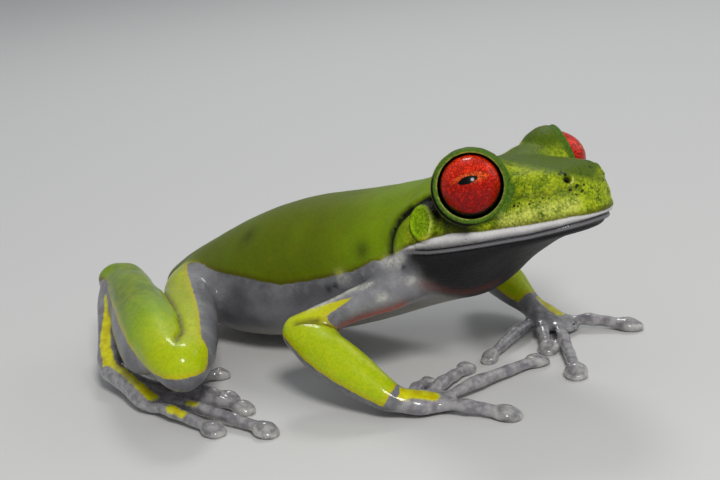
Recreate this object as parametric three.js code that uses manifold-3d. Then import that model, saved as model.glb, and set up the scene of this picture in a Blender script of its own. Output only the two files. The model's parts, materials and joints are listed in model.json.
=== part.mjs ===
// Red-eyed tree frog at life size, crouched on a flat floor. Units are millimetres.
// +X is where the body points, +Y its left side and +Z up. The floor is z = 0.
// The body is parted where a person would name its parts, with a thin gap at every joint.

import * as THREE from 'three';
import { LoftGeometry } from 'three/addons/geometries/LoftGeometry.js';
import { mergeVertices } from 'three/addons/utils/BufferGeometryUtils.js';
import Module from 'manifold-3d';

const wasm = await Module();
wasm.setup();

const place = (x, y, z) => new THREE.Vector3(x, y, z);
const sides = ['r', 'l'];
const sideSign = { r: -1, l: 1 };

// ---- Fit and fineness

const gap = 0.3;            // between two parts that touch
const weld = 0.01;          // vertices closer than this are one
const trunkSides = 28;      // points round a section of the head or torso
const limbSides = 10;
const digitSides = 8;
const limbSteps = 7;        // sections along a limb
const digitStops = [0, 0.17, 0.33, 0.5, 0.59, 0.67, 0.75, 0.83, 1];   // sections along a digit
const trunkStep = 1.7;      // between sections of the head and torso
const endRings = [62, 30];   // degrees, the sections that round off an end
const eyeSides = 22;
const ballSides = 12;
const dimpleSides = 10;

// ---- Head. Its own frame starts midway between the eyes, +X to the snout.

const headPlace = place(8.8, -0.5, 23.4);
const headTurn = -7.5;      // degrees to the left about +Z
const headRoll = -3.5;      // degrees about the head's own length
const neckLean = 0.38;      // how far the neck's cut slopes back for each mm up
const neckHeight = -8;      // height of the middle of the neck

// crown, waist (the mouth line) and base (the chin) are heights, half is half the width at
// the mouth line, and above and below say how square the section is, from 2 for an ellipse
const headSections = [
  { x: -8.5, crown: -0.9, waist: -7.7, base: -14.8, half: 8.9, above: 2.2, below: 2.1, lean: neckLean },
  { x: -5.0, crown: 0.9, waist: -7.2, base: -13.8, half: 9.5, above: 2.2, below: 2.1, lean: 0.22 },
  { x: -1.5, crown: 1.8, waist: -6.5, base: -11.3, half: 9.3, above: 2.3, below: 2.1, lean: 0.06 },
  { x: 3.0, crown: 2.0, waist: -5.6, base: -8.1, half: 8.2, above: 2.6, below: 2.2, lean: 0 },
  { x: 6.5, crown: 1.9, waist: -4.9, base: -6.3, half: 6.7, above: 2.8, below: 2.3, lean: 0 },
  { x: 9.2, crown: 1.7, waist: -4.2, base: -5.3, half: 5.0, above: 2.8, below: 2.3, lean: 0 },
  { x: 10.4, crown: 0.8, waist: -3.9, base: -4.9, half: 3.6, above: 2.6, below: 2.3, lean: 0 },
  { x: 11.1, crown: -0.9, waist: -3.7, base: -4.5, half: 2.6, above: 2.4, below: 2.2, lean: 0 },
  { x: 11.7, crown: -2.5, waist: -3.5, base: -4.1, half: 1.1, above: 2.2, below: 2.2, lean: 0 },
];
const lipSwell = { height: 0.8, depth: 0.35, spread: 0.6 };   // a rounded rim over the mouth

const eyeRadius = 3.6;
const eyeSpread = 15.2;     // between the eyeballs' centres
const eyeAim = { forward: 53, up: 17 };   // degrees, from straight ahead and above level
const lidThickness = 0.5;
const lidOpening = 3.55;    // radius of the round opening of the lids
const lidFlare = 0.72;      // how much wider it gets for each mm outwards
const browPlace = place(-0.4, 4.9, -0.6);
const browSize = place(4.7, 5.4, 3.3);

const nostrilPlace = place(9.2, 2.85, 0.45);
const nostrilRim = 0.85;
const nostrilHole = 0.42;
const nostrilAim = place(0.2, 0.62, 0.45);   // from the rim's middle to the hole's

const eardrumPlace = place(-6.2, 8.75, -4.1);
const eardrumRadius = 1.7;
const eardrumThickness = 0.7;
const eardrumAim = place(-0.25, 1, 0.22);

// ---- Torso, from the neck's cut to the rump. join is how far a section follows that cut.

const torsoSections = [
  { x: 0.0, crown: 22.3, waist: 15.7, base: 8.6, half: 8.9, above: 2.2, below: 2.1, join: 1 },
  { x: -6.0, crown: 21.3, waist: 13.4, base: 6.2, half: 9.3, above: 2.2, below: 2.1, join: 0.4 },
  { x: -12.0, crown: 20.2, waist: 11.4, base: 3.9, half: 9.1, above: 2.3, below: 2.1, join: 0.08 },
  { x: -18.5, crown: 19.2, waist: 9.7, base: 2.2, half: 9.2, above: 2.3, below: 2.1, join: 0 },
  { x: -25.0, crown: 17.6, waist: 8.4, base: 1.0, half: 9.3, above: 2.3, below: 2.1, join: 0 },
  { x: -31.0, crown: 15.2, waist: 7.6, base: 0.9, half: 8.4, above: 2.3, below: 2.1, join: 0 },
  { x: -36.5, crown: 12.6, waist: 6.9, base: 1.6, half: 6.6, above: 2.3, below: 2.1, join: 0 },
  { x: -41.5, crown: 9.9, waist: 6.4, base: 2.8, half: 4.5, above: 2.2, below: 2.1, join: 0 },
  { x: -44.6, crown: 7.7, waist: 6.0, base: 4.2, half: 2.5, above: 2.1, below: 2.1, join: 0 },
  { x: -45.7, crown: 6.7, waist: 5.9, base: 5.1, half: 1.0, above: 2, below: 2, join: 0 },
];

// ---- Limbs. Joints are the middles of the flesh, tips the middles of the toe discs.

const arms = {
  r: {
    shoulder: place(-2.1, -8.0, 12.0),
    elbow: place(-11.7, -17.0, 8.4),
    wrist: place(1.0, -17.7, 2.2),
    palm: place(3.4, -15.6, 1.35),
    firstKnuckle: 142,
    knuckleTurn: -44,
    tips: [[0.4, -9.0], [2.2, -3.6], [8.9, 1.3], [13.3, -13.5]],
  },
  l: {
    shoulder: place(-2.1, 8.0, 12.0),
    elbow: place(-10.5, 18.6, 8.2),
    wrist: place(1.4, 12.8, 3.2),
    palm: place(4.0, 12.6, 1.5),
    firstKnuckle: -118,
    knuckleTurn: 44,
    tips: [[3.1, 0.3], [8.2, 5.2], [14.8, -0.5], [14.1, 15.4]],
  },
};
const shoulderRoot = place(2.0, 3.0, 1.6);   // from the shoulder into the torso
const upperArmGirth = [3.0, 2.6, 1.9, 1.75];
const forearmGirth = [2.0, 2.75, 2.55, 1.6];
const elbowBall = 1.95;
const palmGirth = [1.4, 2.4, 2.1];
const palmDepth = [1.35, 1.35, 1.1];
const fingerReach = 2.8;   // from the palm's middle to a knuckle
const fingerDiscs = [1.1, 1.25, 1.45, 1.5];
const fingerWeb = [0.2, 0.25, 0.38];

const legs = {
  r: {
    hip: place(-37.3, -5.8, 7.6),
    knee: place(-19.5, -27.6, 7.6),
    heel: place(-45.3, -10.2, 9.6),
    instep: place(-36.1, -22.7, 2.5),
    sole: place(-28.2, -24.7, 1.35),
    firstKnuckle: 96,
    knuckleTurn: -34,
    tips: [[-25.4, -15.1], [-19.3, -20.8], [-15.8, -22.6], [-9.4, -26.7], [-15.2, -28.7]],
  },
  l: {
    hip: place(-37.3, 5.8, 7.6),
    knee: place(-21.5, 26.4, 7.2),
    heel: place(-45.4, 9.8, 6.3),
    instep: place(-38.2, 21.8, 2.4),
    sole: place(-31.0, 24.1, 1.35),
    firstKnuckle: -96,
    knuckleTurn: 34,
    tips: [[-28.5, 15.6], [-22.6, 20.6], [-18.8, 22.6], [-12.6, 26.3], [-18.0, 28.5]],
  },
};
const hipRoot = place(-1.0, 3.0, -0.6);       // from the hip into the torso
const kneeFold = 1.55;      // thigh and shank each lie this far from the fold between them
const thighGirth = [2.4, 3.1, 3.2, 2.4];
const shankGirth = [2.6, 3.5, 3.2, 2.4];
const kneeBall = 3.1;
const kneeDrop = 0.5;        // the knee's ball hangs this far under the shank's line
const tarsusGirth = [1.75, 1.5, 1.35, 1.45];
const heelBall = 2.1;
const heelSplit = place(0.6, -0.4, 0);   // shank and tarsus end this far each side of the heel
const soleGirth = [1.4, 1.6, 2.5, 2.6];
const soleDepth = [1.4, 1.45, 1.35, 1.0];
const toeReach = 3.6;
const toeDiscs = [1.05, 1.15, 1.3, 1.45, 1.4];
const toeWeb = [0.45, 0.6, 0.55, 0.6];

// A digit from knuckle to disc: how far along, and its half thickness and height there
const digitLine = [
  { share: 0, girth: 0.66, height: 1.15 },
  { share: 0.3, girth: 0.74, height: 1.3 },
  { share: 0.65, girth: 0.62, height: 1.0 },
];
// The disc at its tip: how far ahead of its middle, as shares of its half width
const discLine = [
  { ahead: -1.2, width: 0.46, depth: 0.6, height: 0.8 },
  { ahead: -0.55, width: 0.86, depth: 0.74, height: 0.7 },
  { ahead: -0.05, width: 1, depth: 0.74, height: 0.62 },
  { ahead: 0.2, width: 0.94, depth: 0.6, height: 0.5 },
];
const webThickness = 0.55;
const webHeight = 0.4;
const webHollow = 0.35;      // how far the front edge of a web falls back
const webRoot = 0.5;         // how far its root reaches into the palm

// ---- Finish

const skinRoughness = 0.45;
const wetRoughness = 0.25;
const leafGreen = new THREE.Color(0.16, 0.26, 0.03);
const brightGreen = new THREE.Color(0.24, 0.38, 0.02);
const paleGrey = new THREE.Color(0.3, 0.3, 0.32);
const irisRed = new THREE.Color(0.6, 0.03, 0.015);

// ---- Solids: meshes become closed solids to be joined and cut, and come back as meshes

function solidOf(geometry) {
  const plain = new THREE.BufferGeometry();
  plain.setAttribute('position', geometry.attributes.position);
  plain.setIndex(geometry.index);
  const merged = mergeVertices(plain, weld);
  return new wasm.Manifold(new wasm.Mesh({
    numProp: 3,
    vertProperties: new Float32Array(merged.attributes.position.array),
    triVerts: new Uint32Array(merged.index.array),
  }));
}

function geometryOf(solid) {
  const bodies = solid.decompose();
  bodies.sort((a, b) => b.volume() - a.volume());
  const { vertProperties, triVerts, numProp } = bodies[0].getMesh();
  const positions = [];
  for (let i = 0; i < vertProperties.length; i += numProp) {
    positions.push(vertProperties[i], vertProperties[i + 1], vertProperties[i + 2]);
  }
  const geometry = new THREE.BufferGeometry();
  geometry.setAttribute('position', new THREE.Float32BufferAttribute(positions, 3));
  geometry.setIndex(Array.from(triVerts));
  geometry.computeVertexNormals();
  return geometry;
}

// The same solid with its surface moved out by a margin
function grown(solid, margin = gap) {
  const geometry = geometryOf(solid);
  const position = geometry.attributes.position;
  const normal = geometry.attributes.normal;
  for (let i = 0; i < position.count; i++) {
    position.setXYZ(
      i,
      position.getX(i) + margin * normal.getX(i),
      position.getY(i) + margin * normal.getY(i),
      position.getZ(i) + margin * normal.getZ(i),
    );
  }
  return solidOf(geometry);
}

function clearOf(solid, ...neighbours) {
  return neighbours.reduce((rest, neighbour) => rest.subtract(grown(neighbour)), solid);
}

const underFloor = solidOf(new THREE.BoxGeometry(200, 200, 20).translate(0, 0, -10));
const onFloor = (solid) => solid.subtract(underFloor);

function ball(centre, radius, size = place(1, 1, 1), detail = ballSides) {
  const geometry = new THREE.SphereGeometry(radius, detail, Math.round(detail * 0.6));
  geometry.scale(size.x, size.y, size.z);
  return solidOf(geometry.translate(centre.x, centre.y, centre.z));
}

// ---- Trunk: sections across X, each a rounded outline with its widest line at the waist

function sectionAt(sections, x) {
  const line = (key) => new THREE.CatmullRomCurve3(
    sections.map((section) => place(section.x, section[key] ?? 0, 0)), false, 'centripetal');
  const first = sections[0].x;
  const last = sections[sections.length - 1].x;
  const found = { x };
  for (const key of ['crown', 'waist', 'base', 'half', 'above', 'below', 'lean', 'join']) {
    const curve = line(key);
    let low = 0;
    let high = 1;
    for (let i = 0; i < 24; i++) {
      const middle = (low + high) / 2;
      const before = (curve.getPoint(middle).x - x) * (first - last) > 0;
      [low, high] = before ? [middle, high] : [low, middle];
    }
    found[key] = curve.getPoint(low).y;
  }
  return found;
}

function roundedOutline(section, swell) {
  const outline = [];
  for (let i = 0; i < trunkSides; i++) {
    const angle = (i / trunkSides) * 2 * Math.PI;
    const across = Math.cos(angle);
    const up = Math.sin(angle);
    const power = 2 / (up >= 0 ? section.above : section.below);
    const reach = up >= 0 ? section.crown - section.waist : section.waist - section.base;
    const height = section.waist + Math.sign(up) * reach * Math.abs(up) ** power;
    let width = section.half * Math.abs(across) ** power;
    if (swell && up >= 0) {
      const off = (height - section.waist - swell.height) / swell.spread;
      width += swell.depth * Math.exp(-off * off) * Math.min(1, width);
    }
    outline.push([Math.sign(across) * width, height]);
  }
  return outline;
}

function evenStops(sections) {
  const first = sections[0].x;
  const last = sections[sections.length - 1].x;
  const count = Math.ceil(Math.abs(last - first) / trunkStep);
  const stops = [];
  for (let i = 0; i <= count; i++) {
    const share = i / count;
    stops.push(first + (last - first) * (1 - (1 - share) ** 1.35));
  }
  return stops;
}

// ---- Limbs: flattened rings along a smooth line, rounded at both ends

const evenShares = Array.from({ length: limbSteps + 1 }, (_, i) => i / limbSteps);

function limb(points, girth, depth = girth, count = limbSides, shares = evenShares) {
  const line = new THREE.CatmullRomCurve3(points);
  const sizes = new THREE.CatmullRomCurve3(points.map((_, i) => place(girth[i], depth[i], 0)));
  const rings = [];
  const ring = (share, shrink, shift) => {
    const tangent = line.getTangent(share);
    const across = place(0, 0, 1).cross(tangent).normalize();
    const up = tangent.clone().cross(across);
    const size = sizes.getPoint(share);
    const centre = line.getPoint(share).addScaledVector(tangent, shift * size.x);
    const points = [];
    for (let i = 0; i < count; i++) {
      const angle = (i / count) * 2 * Math.PI;
      points.push(centre.clone()
        .addScaledVector(across, size.x * shrink * Math.cos(angle))
        .addScaledVector(up, size.y * shrink * Math.sin(angle)));
    }
    rings.push(points);
  };
  const rounded = endRings.map((degrees) => THREE.MathUtils.degToRad(degrees));
  rounded.forEach((angle) => ring(0, Math.cos(angle), -Math.sin(angle)));
  shares.forEach((share) => ring(share, 1, 0));
  rounded.reverse().forEach((angle) => ring(1, Math.cos(angle), Math.sin(angle)));
  return solidOf(new LoftGeometry(rings, { capStart: true, capEnd: true }));
}

const between = (a, b, share) => a.clone().lerp(b, share);

// ---- Head, with lids, lips, nostrils and eardrums

const headPose = new THREE.Matrix4()
  .makeTranslation(headPlace.x, headPlace.y, headPlace.z)
  .multiply(new THREE.Matrix4().makeRotationZ(THREE.MathUtils.degToRad(headTurn)))
  .multiply(new THREE.Matrix4().makeRotationX(THREE.MathUtils.degToRad(headRoll)));

const posed = (solid) => solidOf(geometryOf(solid).applyMatrix4(headPose));

const onSide = (point, side) => place(point.x, point.y * sideSign[side], point.z);

function eyeAxis(side) {
  const forward = THREE.MathUtils.degToRad(eyeAim.forward);
  const up = THREE.MathUtils.degToRad(eyeAim.up);
  return onSide(place(
    Math.cos(forward) * Math.cos(up),
    Math.sin(forward) * Math.cos(up),
    Math.sin(up),
  ), side);
}

const eyePlace = (side) => onSide(place(0, eyeSpread / 2, 0), side);

function headRing(x) {
  const section = sectionAt(headSections, x);
  return roundedOutline(section, lipSwell).map(([y, z]) => place(x - section.lean * (z - neckHeight), y, z));
}

function headWhole() {
  return solidOf(new LoftGeometry(evenStops(headSections).map(headRing), { capStart: true, capEnd: true }));
}

// All that lies above or below the mouth line, less half the gap
function mouthSide(above) {
  const far = 40;
  const shift = above ? gap / 2 : -gap / 2;
  const line = headSections.map((section) => [section.x, section.waist + shift]);
  const first = line[0];
  const last = line[line.length - 1];
  const edge = [[-far, first[1]], ...line, [far, last[1]]];
  const shape = new THREE.Shape(edge.map(([x, z]) => new THREE.Vector2(x, z)));
  shape.lineTo(far, above ? far : -far);
  shape.lineTo(-far, above ? far : -far);
  const geometry = new THREE.ExtrudeGeometry(shape, { depth: far, bevelEnabled: false });
  return solidOf(geometry.rotateX(Math.PI / 2).translate(0, far / 2, 0));
}

function lidOpeningCut(side) {
  const depth = 2 * eyeRadius;
  const geometry = new THREE.CylinderGeometry(lidOpening + lidFlare * depth, lidOpening, depth, eyeSides);
  const rimOffset = Math.sqrt((eyeRadius + gap) ** 2 - lidOpening ** 2);
  geometry.translate(0, depth / 2 + rimOffset, 0);
  geometry.applyQuaternion(new THREE.Quaternion().setFromUnitVectors(place(0, 1, 0), eyeAxis(side)));
  const centre = eyePlace(side);
  return solidOf(geometry.translate(centre.x, centre.y, centre.z));
}

function eardrum(side, margin) {
  const radius = eardrumRadius + margin;
  const depth = eardrumThickness / 2 + margin;
  const profile = [[0, -depth], [radius, -depth], [radius, depth * 0.4], [radius * 0.6, depth], [0, depth]];
  const geometry = new THREE.LatheGeometry(profile.map(([r, h]) => new THREE.Vector2(r, h)), 16);
  const aim = onSide(eardrumAim, side).normalize();
  geometry.applyQuaternion(new THREE.Quaternion().setFromUnitVectors(place(0, 1, 0), aim));
  const centre = onSide(eardrumPlace, side);
  return solidOf(geometry.translate(centre.x, centre.y, centre.z));
}

function headParts() {
  let head = headWhole();
  for (const side of sides) {
    head = head.add(ball(eyePlace(side), eyeRadius + gap + lidThickness, place(1, 1, 1), eyeSides));
    head = head.add(ball(onSide(browPlace, side), 1, browSize, eyeSides));
    head = head.add(ball(onSide(nostrilPlace, side), nostrilRim, place(1, 1, 1), dimpleSides));
  }
  for (const side of sides) {
    head = head.subtract(ball(eyePlace(side), eyeRadius + gap, place(1, 1, 1), eyeSides));
    head = head.subtract(lidOpeningCut(side));
    const nostrilMouth = onSide(nostrilPlace, side).add(onSide(nostrilAim, side));
    head = head.subtract(ball(nostrilMouth, nostrilHole, place(1, 1, 1), dimpleSides));
    head = head.subtract(eardrum(side, gap));
  }
  return {
    head: posed(head.intersect(mouthSide(true))),
    jaw: posed(head.intersect(mouthSide(false))),
  };
}

// ---- Torso

function torso() {
  const away = place(-1, 0, -neckLean).normalize().multiplyScalar(gap);
  const neck = headRing(headSections[0].x).map((point) => point.add(away).applyMatrix4(headPose));
  const rings = evenStops(torsoSections).reverse().map((x) => {
    const section = sectionAt(torsoSections, x);
    return roundedOutline(section).map(([y, z], i) => place(x, y, z).lerp(neck[i], section.join));
  });
  return solidOf(new LoftGeometry(rings, { capStart: true, capEnd: true }));
}

// ---- Digits, palms and soles

function knuckles(centre, limbPlan, reach) {
  return limbPlan.tips.map((_, i) => {
    const angle = THREE.MathUtils.degToRad(limbPlan.firstKnuckle + i * limbPlan.knuckleTurn);
    return place(centre.x + reach * Math.cos(angle), centre.y + reach * Math.sin(angle), 0);
  });
}

function digit(knuckle, [tipX, tipY], disc) {
  const tip = place(tipX, tipY, 0);
  const ahead = tip.clone().sub(knuckle).setZ(0).normalize();
  const points = digitLine.map(({ share, height }) => between(knuckle, tip, share).setZ(height));
  for (const stop of discLine) {
    points.push(tip.clone().addScaledVector(ahead, stop.ahead * disc).setZ(stop.height));
  }
  const bone = digitLine.map(({ girth }) => girth);
  const girths = [...bone, ...discLine.map(({ width }) => width * disc)];
  const depths = [...bone, ...discLine.map(({ depth }) => depth)];
  return onFloor(limb(points, girths, depths, digitSides, digitStops));
}

// The room that a digit needs, as a straight slot from its knuckle to its tip
function digitSlot(knuckle, [tipX, tipY]) {
  const run = place(tipX, tipY, 0).sub(knuckle);
  const width = 2 * (digitLine[1].girth + gap);
  const slot = new THREE.BoxGeometry(run.length() + width, width, 4 * webHeight + webThickness);
  slot.rotateZ(Math.atan2(run.y, run.x));
  const centre = knuckle.clone().addScaledVector(run, 0.5);
  return solidOf(slot.translate(centre.x, centre.y, webHeight + webThickness / 2));
}

// A thin skin between two neighbouring digits, with a hollow front edge
function web(palmMiddle, knuckleA, tipA, knuckleB, tipB, share) {
  const flat = (v) => new THREE.Vector2(v.x, v.y);
  const [a, b, endA, endB] = [flat(knuckleA), flat(knuckleB), new THREE.Vector2(...tipA), new THREE.Vector2(...tipB)];
  const reach = share * Math.min(a.distanceTo(endA), b.distanceTo(endB));
  const alongA = endA.sub(a).setLength(reach).add(a);
  const alongB = endB.sub(b).setLength(reach).add(b);
  const middle = a.clone().add(b).multiplyScalar(0.5);
  const hollow = alongA.clone().add(alongB).multiplyScalar(0.5).lerp(middle, webHollow);
  const root = middle.clone().lerp(flat(palmMiddle), webRoot);
  const shape = new THREE.Shape([root, a, alongA]);
  shape.quadraticCurveTo(hollow.x, hollow.y, alongB.x, alongB.y);
  shape.lineTo(b.x, b.y);
  const options = { depth: webThickness, bevelEnabled: false, curveSegments: 4 };
  const sheet = solidOf(new THREE.ExtrudeGeometry(shape, options).translate(0, 0, webHeight));
  return sheet.subtract(digitSlot(knuckleA, tipA)).subtract(digitSlot(knuckleB, tipB));
}

// The digits that grow from one palm or sole, and that palm with the webs between them
function fan(palm, palmMiddle, roots, plan, discs, webShares) {
  const digits = plan.tips.map((tip, i) => clearOf(digit(roots[i], tip, discs[i]), palm));
  let whole = palm;
  webShares.forEach((share, i) => {
    whole = whole.add(web(palmMiddle, roots[i], plan.tips[i], roots[i + 1], plan.tips[i + 1], share));
  });
  return { digits, whole };
}

// ---- Front limbs

function arm(side, trunk) {
  const plan = arms[side];
  const root = plan.shoulder.clone().add(place(shoulderRoot.x, -shoulderRoot.y * sideSign[side], shoulderRoot.z));
  const upper = clearOf(
    limb([root, plan.shoulder, between(plan.shoulder, plan.elbow, 0.5), between(plan.shoulder, plan.elbow, 0.93)],
      upperArmGirth),
    ...trunk,
  );
  const lowerLine = [0.06, 0.35, 0.65, 1].map((share) => between(plan.elbow, plan.wrist, share));
  const lower = clearOf(limb(lowerLine, forearmGirth).add(ball(plan.elbow, elbowBall)), upper, ...trunk);
  const front = between(plan.wrist, plan.palm, 1.55).setZ(palmDepth[2]);
  const palm = onFloor(clearOf(
    limb([between(plan.wrist, plan.palm, 0.1), plan.palm, front], palmGirth, palmDepth), lower));
  const roots = knuckles(plan.palm, plan, fingerReach);
  const { digits, whole } = fan(palm, plan.palm, roots, plan, fingerDiscs, fingerWeb);
  return { upper, lower, hand: whole, digits };
}

// ---- Hind limbs: the shank lies folded back along the thigh

function leg(side, trunk) {
  const plan = legs[side];
  const root = plan.hip.clone().add(place(hipRoot.x, -hipRoot.y * sideSign[side], hipRoot.z));
  const outward = plan.knee.clone().sub(plan.hip).normalize();
  const back = plan.heel.clone().sub(plan.knee).normalize();
  const foldAway = back.clone().addScaledVector(outward, -back.dot(outward)).normalize();
  const thighEnd = plan.knee.clone().addScaledVector(foldAway, -kneeFold);
  const shankStart = plan.knee.clone().addScaledVector(foldAway, kneeFold);
  const thigh = clearOf(
    limb([root, plan.hip, between(plan.hip, thighEnd, 0.5), between(plan.hip, thighEnd, 0.93)], thighGirth),
    ...trunk,
  );
  const kneeMiddle = plan.knee.clone().add(place(0, 0, -kneeDrop));
  const split = onSide(heelSplit, side);
  const shankEnd = plan.heel.clone().add(split);
  const tarsusStart = plan.heel.clone().sub(split);
  const shankLine = [0.03, 0.3, 0.62, 0.97].map((share) => between(shankStart, shankEnd, share));
  const shank = clearOf(limb(shankLine, shankGirth).add(ball(kneeMiddle, kneeBall)), thigh, ...trunk);
  const tarsusLine = [0.08, 0.4, 0.7, 0.96].map((share) => between(tarsusStart, plan.instep, share));
  const tarsus = clearOf(limb(tarsusLine, tarsusGirth).add(ball(tarsusStart, heelBall)), shank, thigh, ...trunk);
  const front = between(plan.instep, plan.sole, 1.2).setZ(soleDepth[3]);
  const soleLine = [plan.instep, between(plan.instep, plan.sole, 0.5), plan.sole, front];
  const sole = onFloor(clearOf(limb(soleLine, soleGirth, soleDepth), tarsus, shank));
  const roots = knuckles(plan.sole, plan, toeReach);
  const { digits, whole } = fan(sole, plan.sole, roots, plan, toeDiscs, toeWeb);
  return { thigh, shank, tarsus, foot: whole, digits };
}

// ---- The whole frog, standing on the floor with its middle over the origin

const frog = new THREE.Group();

function addPart(name, solid, color, roughness = skinRoughness) {
  const material = new THREE.MeshStandardMaterial({ color, roughness, metalness: 0 });
  const mesh = new THREE.Mesh(geometryOf(solidOf(geometryOf(solid))), material);
  mesh.name = name;
  frog.add(mesh);
}

const { head, jaw } = headParts();
const body = torso();
const trunk = [body, jaw, head];
addPart('head', head, leafGreen);
addPart('lower_jaw', jaw, paleGrey);
addPart('torso', body, leafGreen);
for (const side of sides) {
  addPart(`eye_${side}`, posed(ball(eyePlace(side), eyeRadius, place(1, 1, 1), eyeSides)), irisRed, wetRoughness);
  addPart(`tympanum_${side}`, posed(eardrum(side, 0)), leafGreen);
  const front = arm(side, trunk);
  addPart(`upper_arm_${side}`, front.upper, paleGrey);
  addPart(`forearm_${side}`, front.lower, brightGreen);
  addPart(`hand_${side}`, front.hand, paleGrey, wetRoughness);
  front.digits.forEach((solid, i) => addPart(`finger_${side}_${i + 1}`, solid, paleGrey, wetRoughness));
  const hind = leg(side, trunk);
  addPart(`thigh_${side}`, hind.thigh, leafGreen);
  addPart(`shank_${side}`, hind.shank, brightGreen);
  addPart(`tarsus_${side}`, hind.tarsus, paleGrey);
  addPart(`foot_${side}`, hind.foot, paleGrey, wetRoughness);
  hind.digits.forEach((solid, i) => addPart(`toe_${side}_${i + 1}`, solid, paleGrey, wetRoughness));
}

const extent = new THREE.Box3().setFromObject(frog);
const middle = extent.getCenter(place(0, 0, 0));
frog.position.set(-middle.x, -middle.y, -extent.min.z);

export default frog;
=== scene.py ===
import json
import math
import bpy
import numpy as np
from mathutils import Matrix, Vector, noise
from mathutils.bvhtree import BVHTree

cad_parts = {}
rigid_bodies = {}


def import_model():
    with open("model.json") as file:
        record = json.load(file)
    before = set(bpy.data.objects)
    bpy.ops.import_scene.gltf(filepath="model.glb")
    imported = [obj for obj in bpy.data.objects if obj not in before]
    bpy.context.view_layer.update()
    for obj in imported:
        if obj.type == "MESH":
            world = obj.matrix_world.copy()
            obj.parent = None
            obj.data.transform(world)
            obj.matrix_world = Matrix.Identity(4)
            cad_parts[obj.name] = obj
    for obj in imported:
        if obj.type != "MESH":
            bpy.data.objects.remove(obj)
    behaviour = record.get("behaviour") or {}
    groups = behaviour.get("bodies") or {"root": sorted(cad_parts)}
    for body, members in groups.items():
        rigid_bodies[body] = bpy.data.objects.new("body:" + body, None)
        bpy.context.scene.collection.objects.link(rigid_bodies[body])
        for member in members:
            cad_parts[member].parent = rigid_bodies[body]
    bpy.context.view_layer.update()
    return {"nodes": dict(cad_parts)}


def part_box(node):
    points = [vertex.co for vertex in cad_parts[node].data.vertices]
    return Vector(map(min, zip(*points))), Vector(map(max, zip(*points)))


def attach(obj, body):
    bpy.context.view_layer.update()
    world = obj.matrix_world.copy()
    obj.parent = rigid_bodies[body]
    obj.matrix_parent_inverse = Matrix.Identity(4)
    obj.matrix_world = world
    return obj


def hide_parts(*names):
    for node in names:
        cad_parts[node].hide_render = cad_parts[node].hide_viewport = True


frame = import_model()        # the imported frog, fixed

# Red-eyed tree frog at life size. Blender's metres are worked out from millimetres here.
mm = 0.001
scene = bpy.context.scene
print("frog: loaded", len(frame["nodes"]), "solids")


# The head's own frame starts midway between the eyes: x to the snout, y left, z up.

def nodeMiddle(name):
    low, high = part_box(name)
    return (low + high) / 2


headMiddle = (nodeMiddle("eye_r") + nodeMiddle("eye_l")) / 2
headLeft = (nodeMiddle("eye_l") - nodeMiddle("eye_r")).normalized()
headAhead = Vector((headLeft.y, -headLeft.x, 0)).normalized()
headUp = headAhead.cross(headLeft)
headRows = np.array([headAhead, headLeft, headUp])
headInBody = Vector((8.8, -0.5, 23.4))            # where the head's frame sits in the body's frame
bodyOrigin = np.array(headMiddle - headInBody * mm)     # the body's frame has the world's directions
headOrigin = np.array(headMiddle)


def toHead(points):
    return (points - headOrigin) @ headRows.T / mm


def fromHead(points):
    return points @ headRows * mm + headOrigin


def toBody(points):
    return (points - bodyOrigin) / mm


def fromBody(points):
    return np.array(points) * mm + bodyOrigin


# The points of the right side laid on the left
def toLeft(points):
    return np.column_stack([points[:, 0], np.abs(points[:, 1]), points[:, 2]])


# From sRGB, 0 to 255, to the linear colour that a material takes
def tint(red, green, blue):
    parts = [v / 255 for v in (red, green, blue)]
    return tuple(v / 12.92 if v < 0.04045 else ((v + 0.055) / 1.055) ** 2.4 for v in parts) + (1,)


cameraLook = {
    "place": (90.579, -140.856, 64.139),          # body frame
    "right": (0.81725, 0.56592, -0.10882),
    "up": (-0.07190, 0.28748, 0.95508),
    "back": (0.57178, -0.77272, 0.27564),
    "lens": 75.0,
    "sensor": 36.0,
    "clip": (0.005, 20),
}
studio = {
    "floorSize": 6.0,
    "floorPaint": {"Base Color": (0.66, 0.66, 0.65, 1), "Roughness": 0.75},
    "world": {"Color": (0.80, 0.82, 0.85, 1), "Strength": 0.42},
    "lamps": {   # where from and how far, in degrees and metres, its size and power
        "key": (-42, 44, 0.42, 0.10, 0.9, (1.0, 0.98, 0.95)),
        "fill": (60, 30, 0.50, 0.30, 0.2, (0.95, 0.98, 1.0)),
        "rim": (123, 50, 0.45, 0.12, 0.4, (1.0, 1.0, 1.0)),
    },
}


def setSockets(node, values):
    for name, value in values.items():
        node.inputs[name].default_value = value


def addCamera():
    data = bpy.data.cameras.new("camera")
    data.lens = cameraLook["lens"]
    data.sensor_width = cameraLook["sensor"]
    data.clip_start, data.clip_end = cameraLook["clip"]
    camera = bpy.data.objects.new("camera", data)
    scene.collection.objects.link(camera)
    turn = Matrix([cameraLook["right"], cameraLook["up"], cameraLook["back"]]).transposed()
    place = Vector(fromBody(cameraLook["place"]))
    camera.matrix_world = Matrix.Translation(place) @ turn.to_4x4()
    scene.camera = camera


def addFloor():
    bpy.ops.mesh.primitive_plane_add(size=studio["floorSize"], location=(0, 0, 0))
    floor = bpy.context.object
    floor.name = "floor"
    material = bpy.data.materials.new("floorPaint")
    material.use_nodes = True
    setSockets(material.node_tree.nodes["Principled BSDF"], studio["floorPaint"])
    floor.data.materials.append(material)


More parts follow.
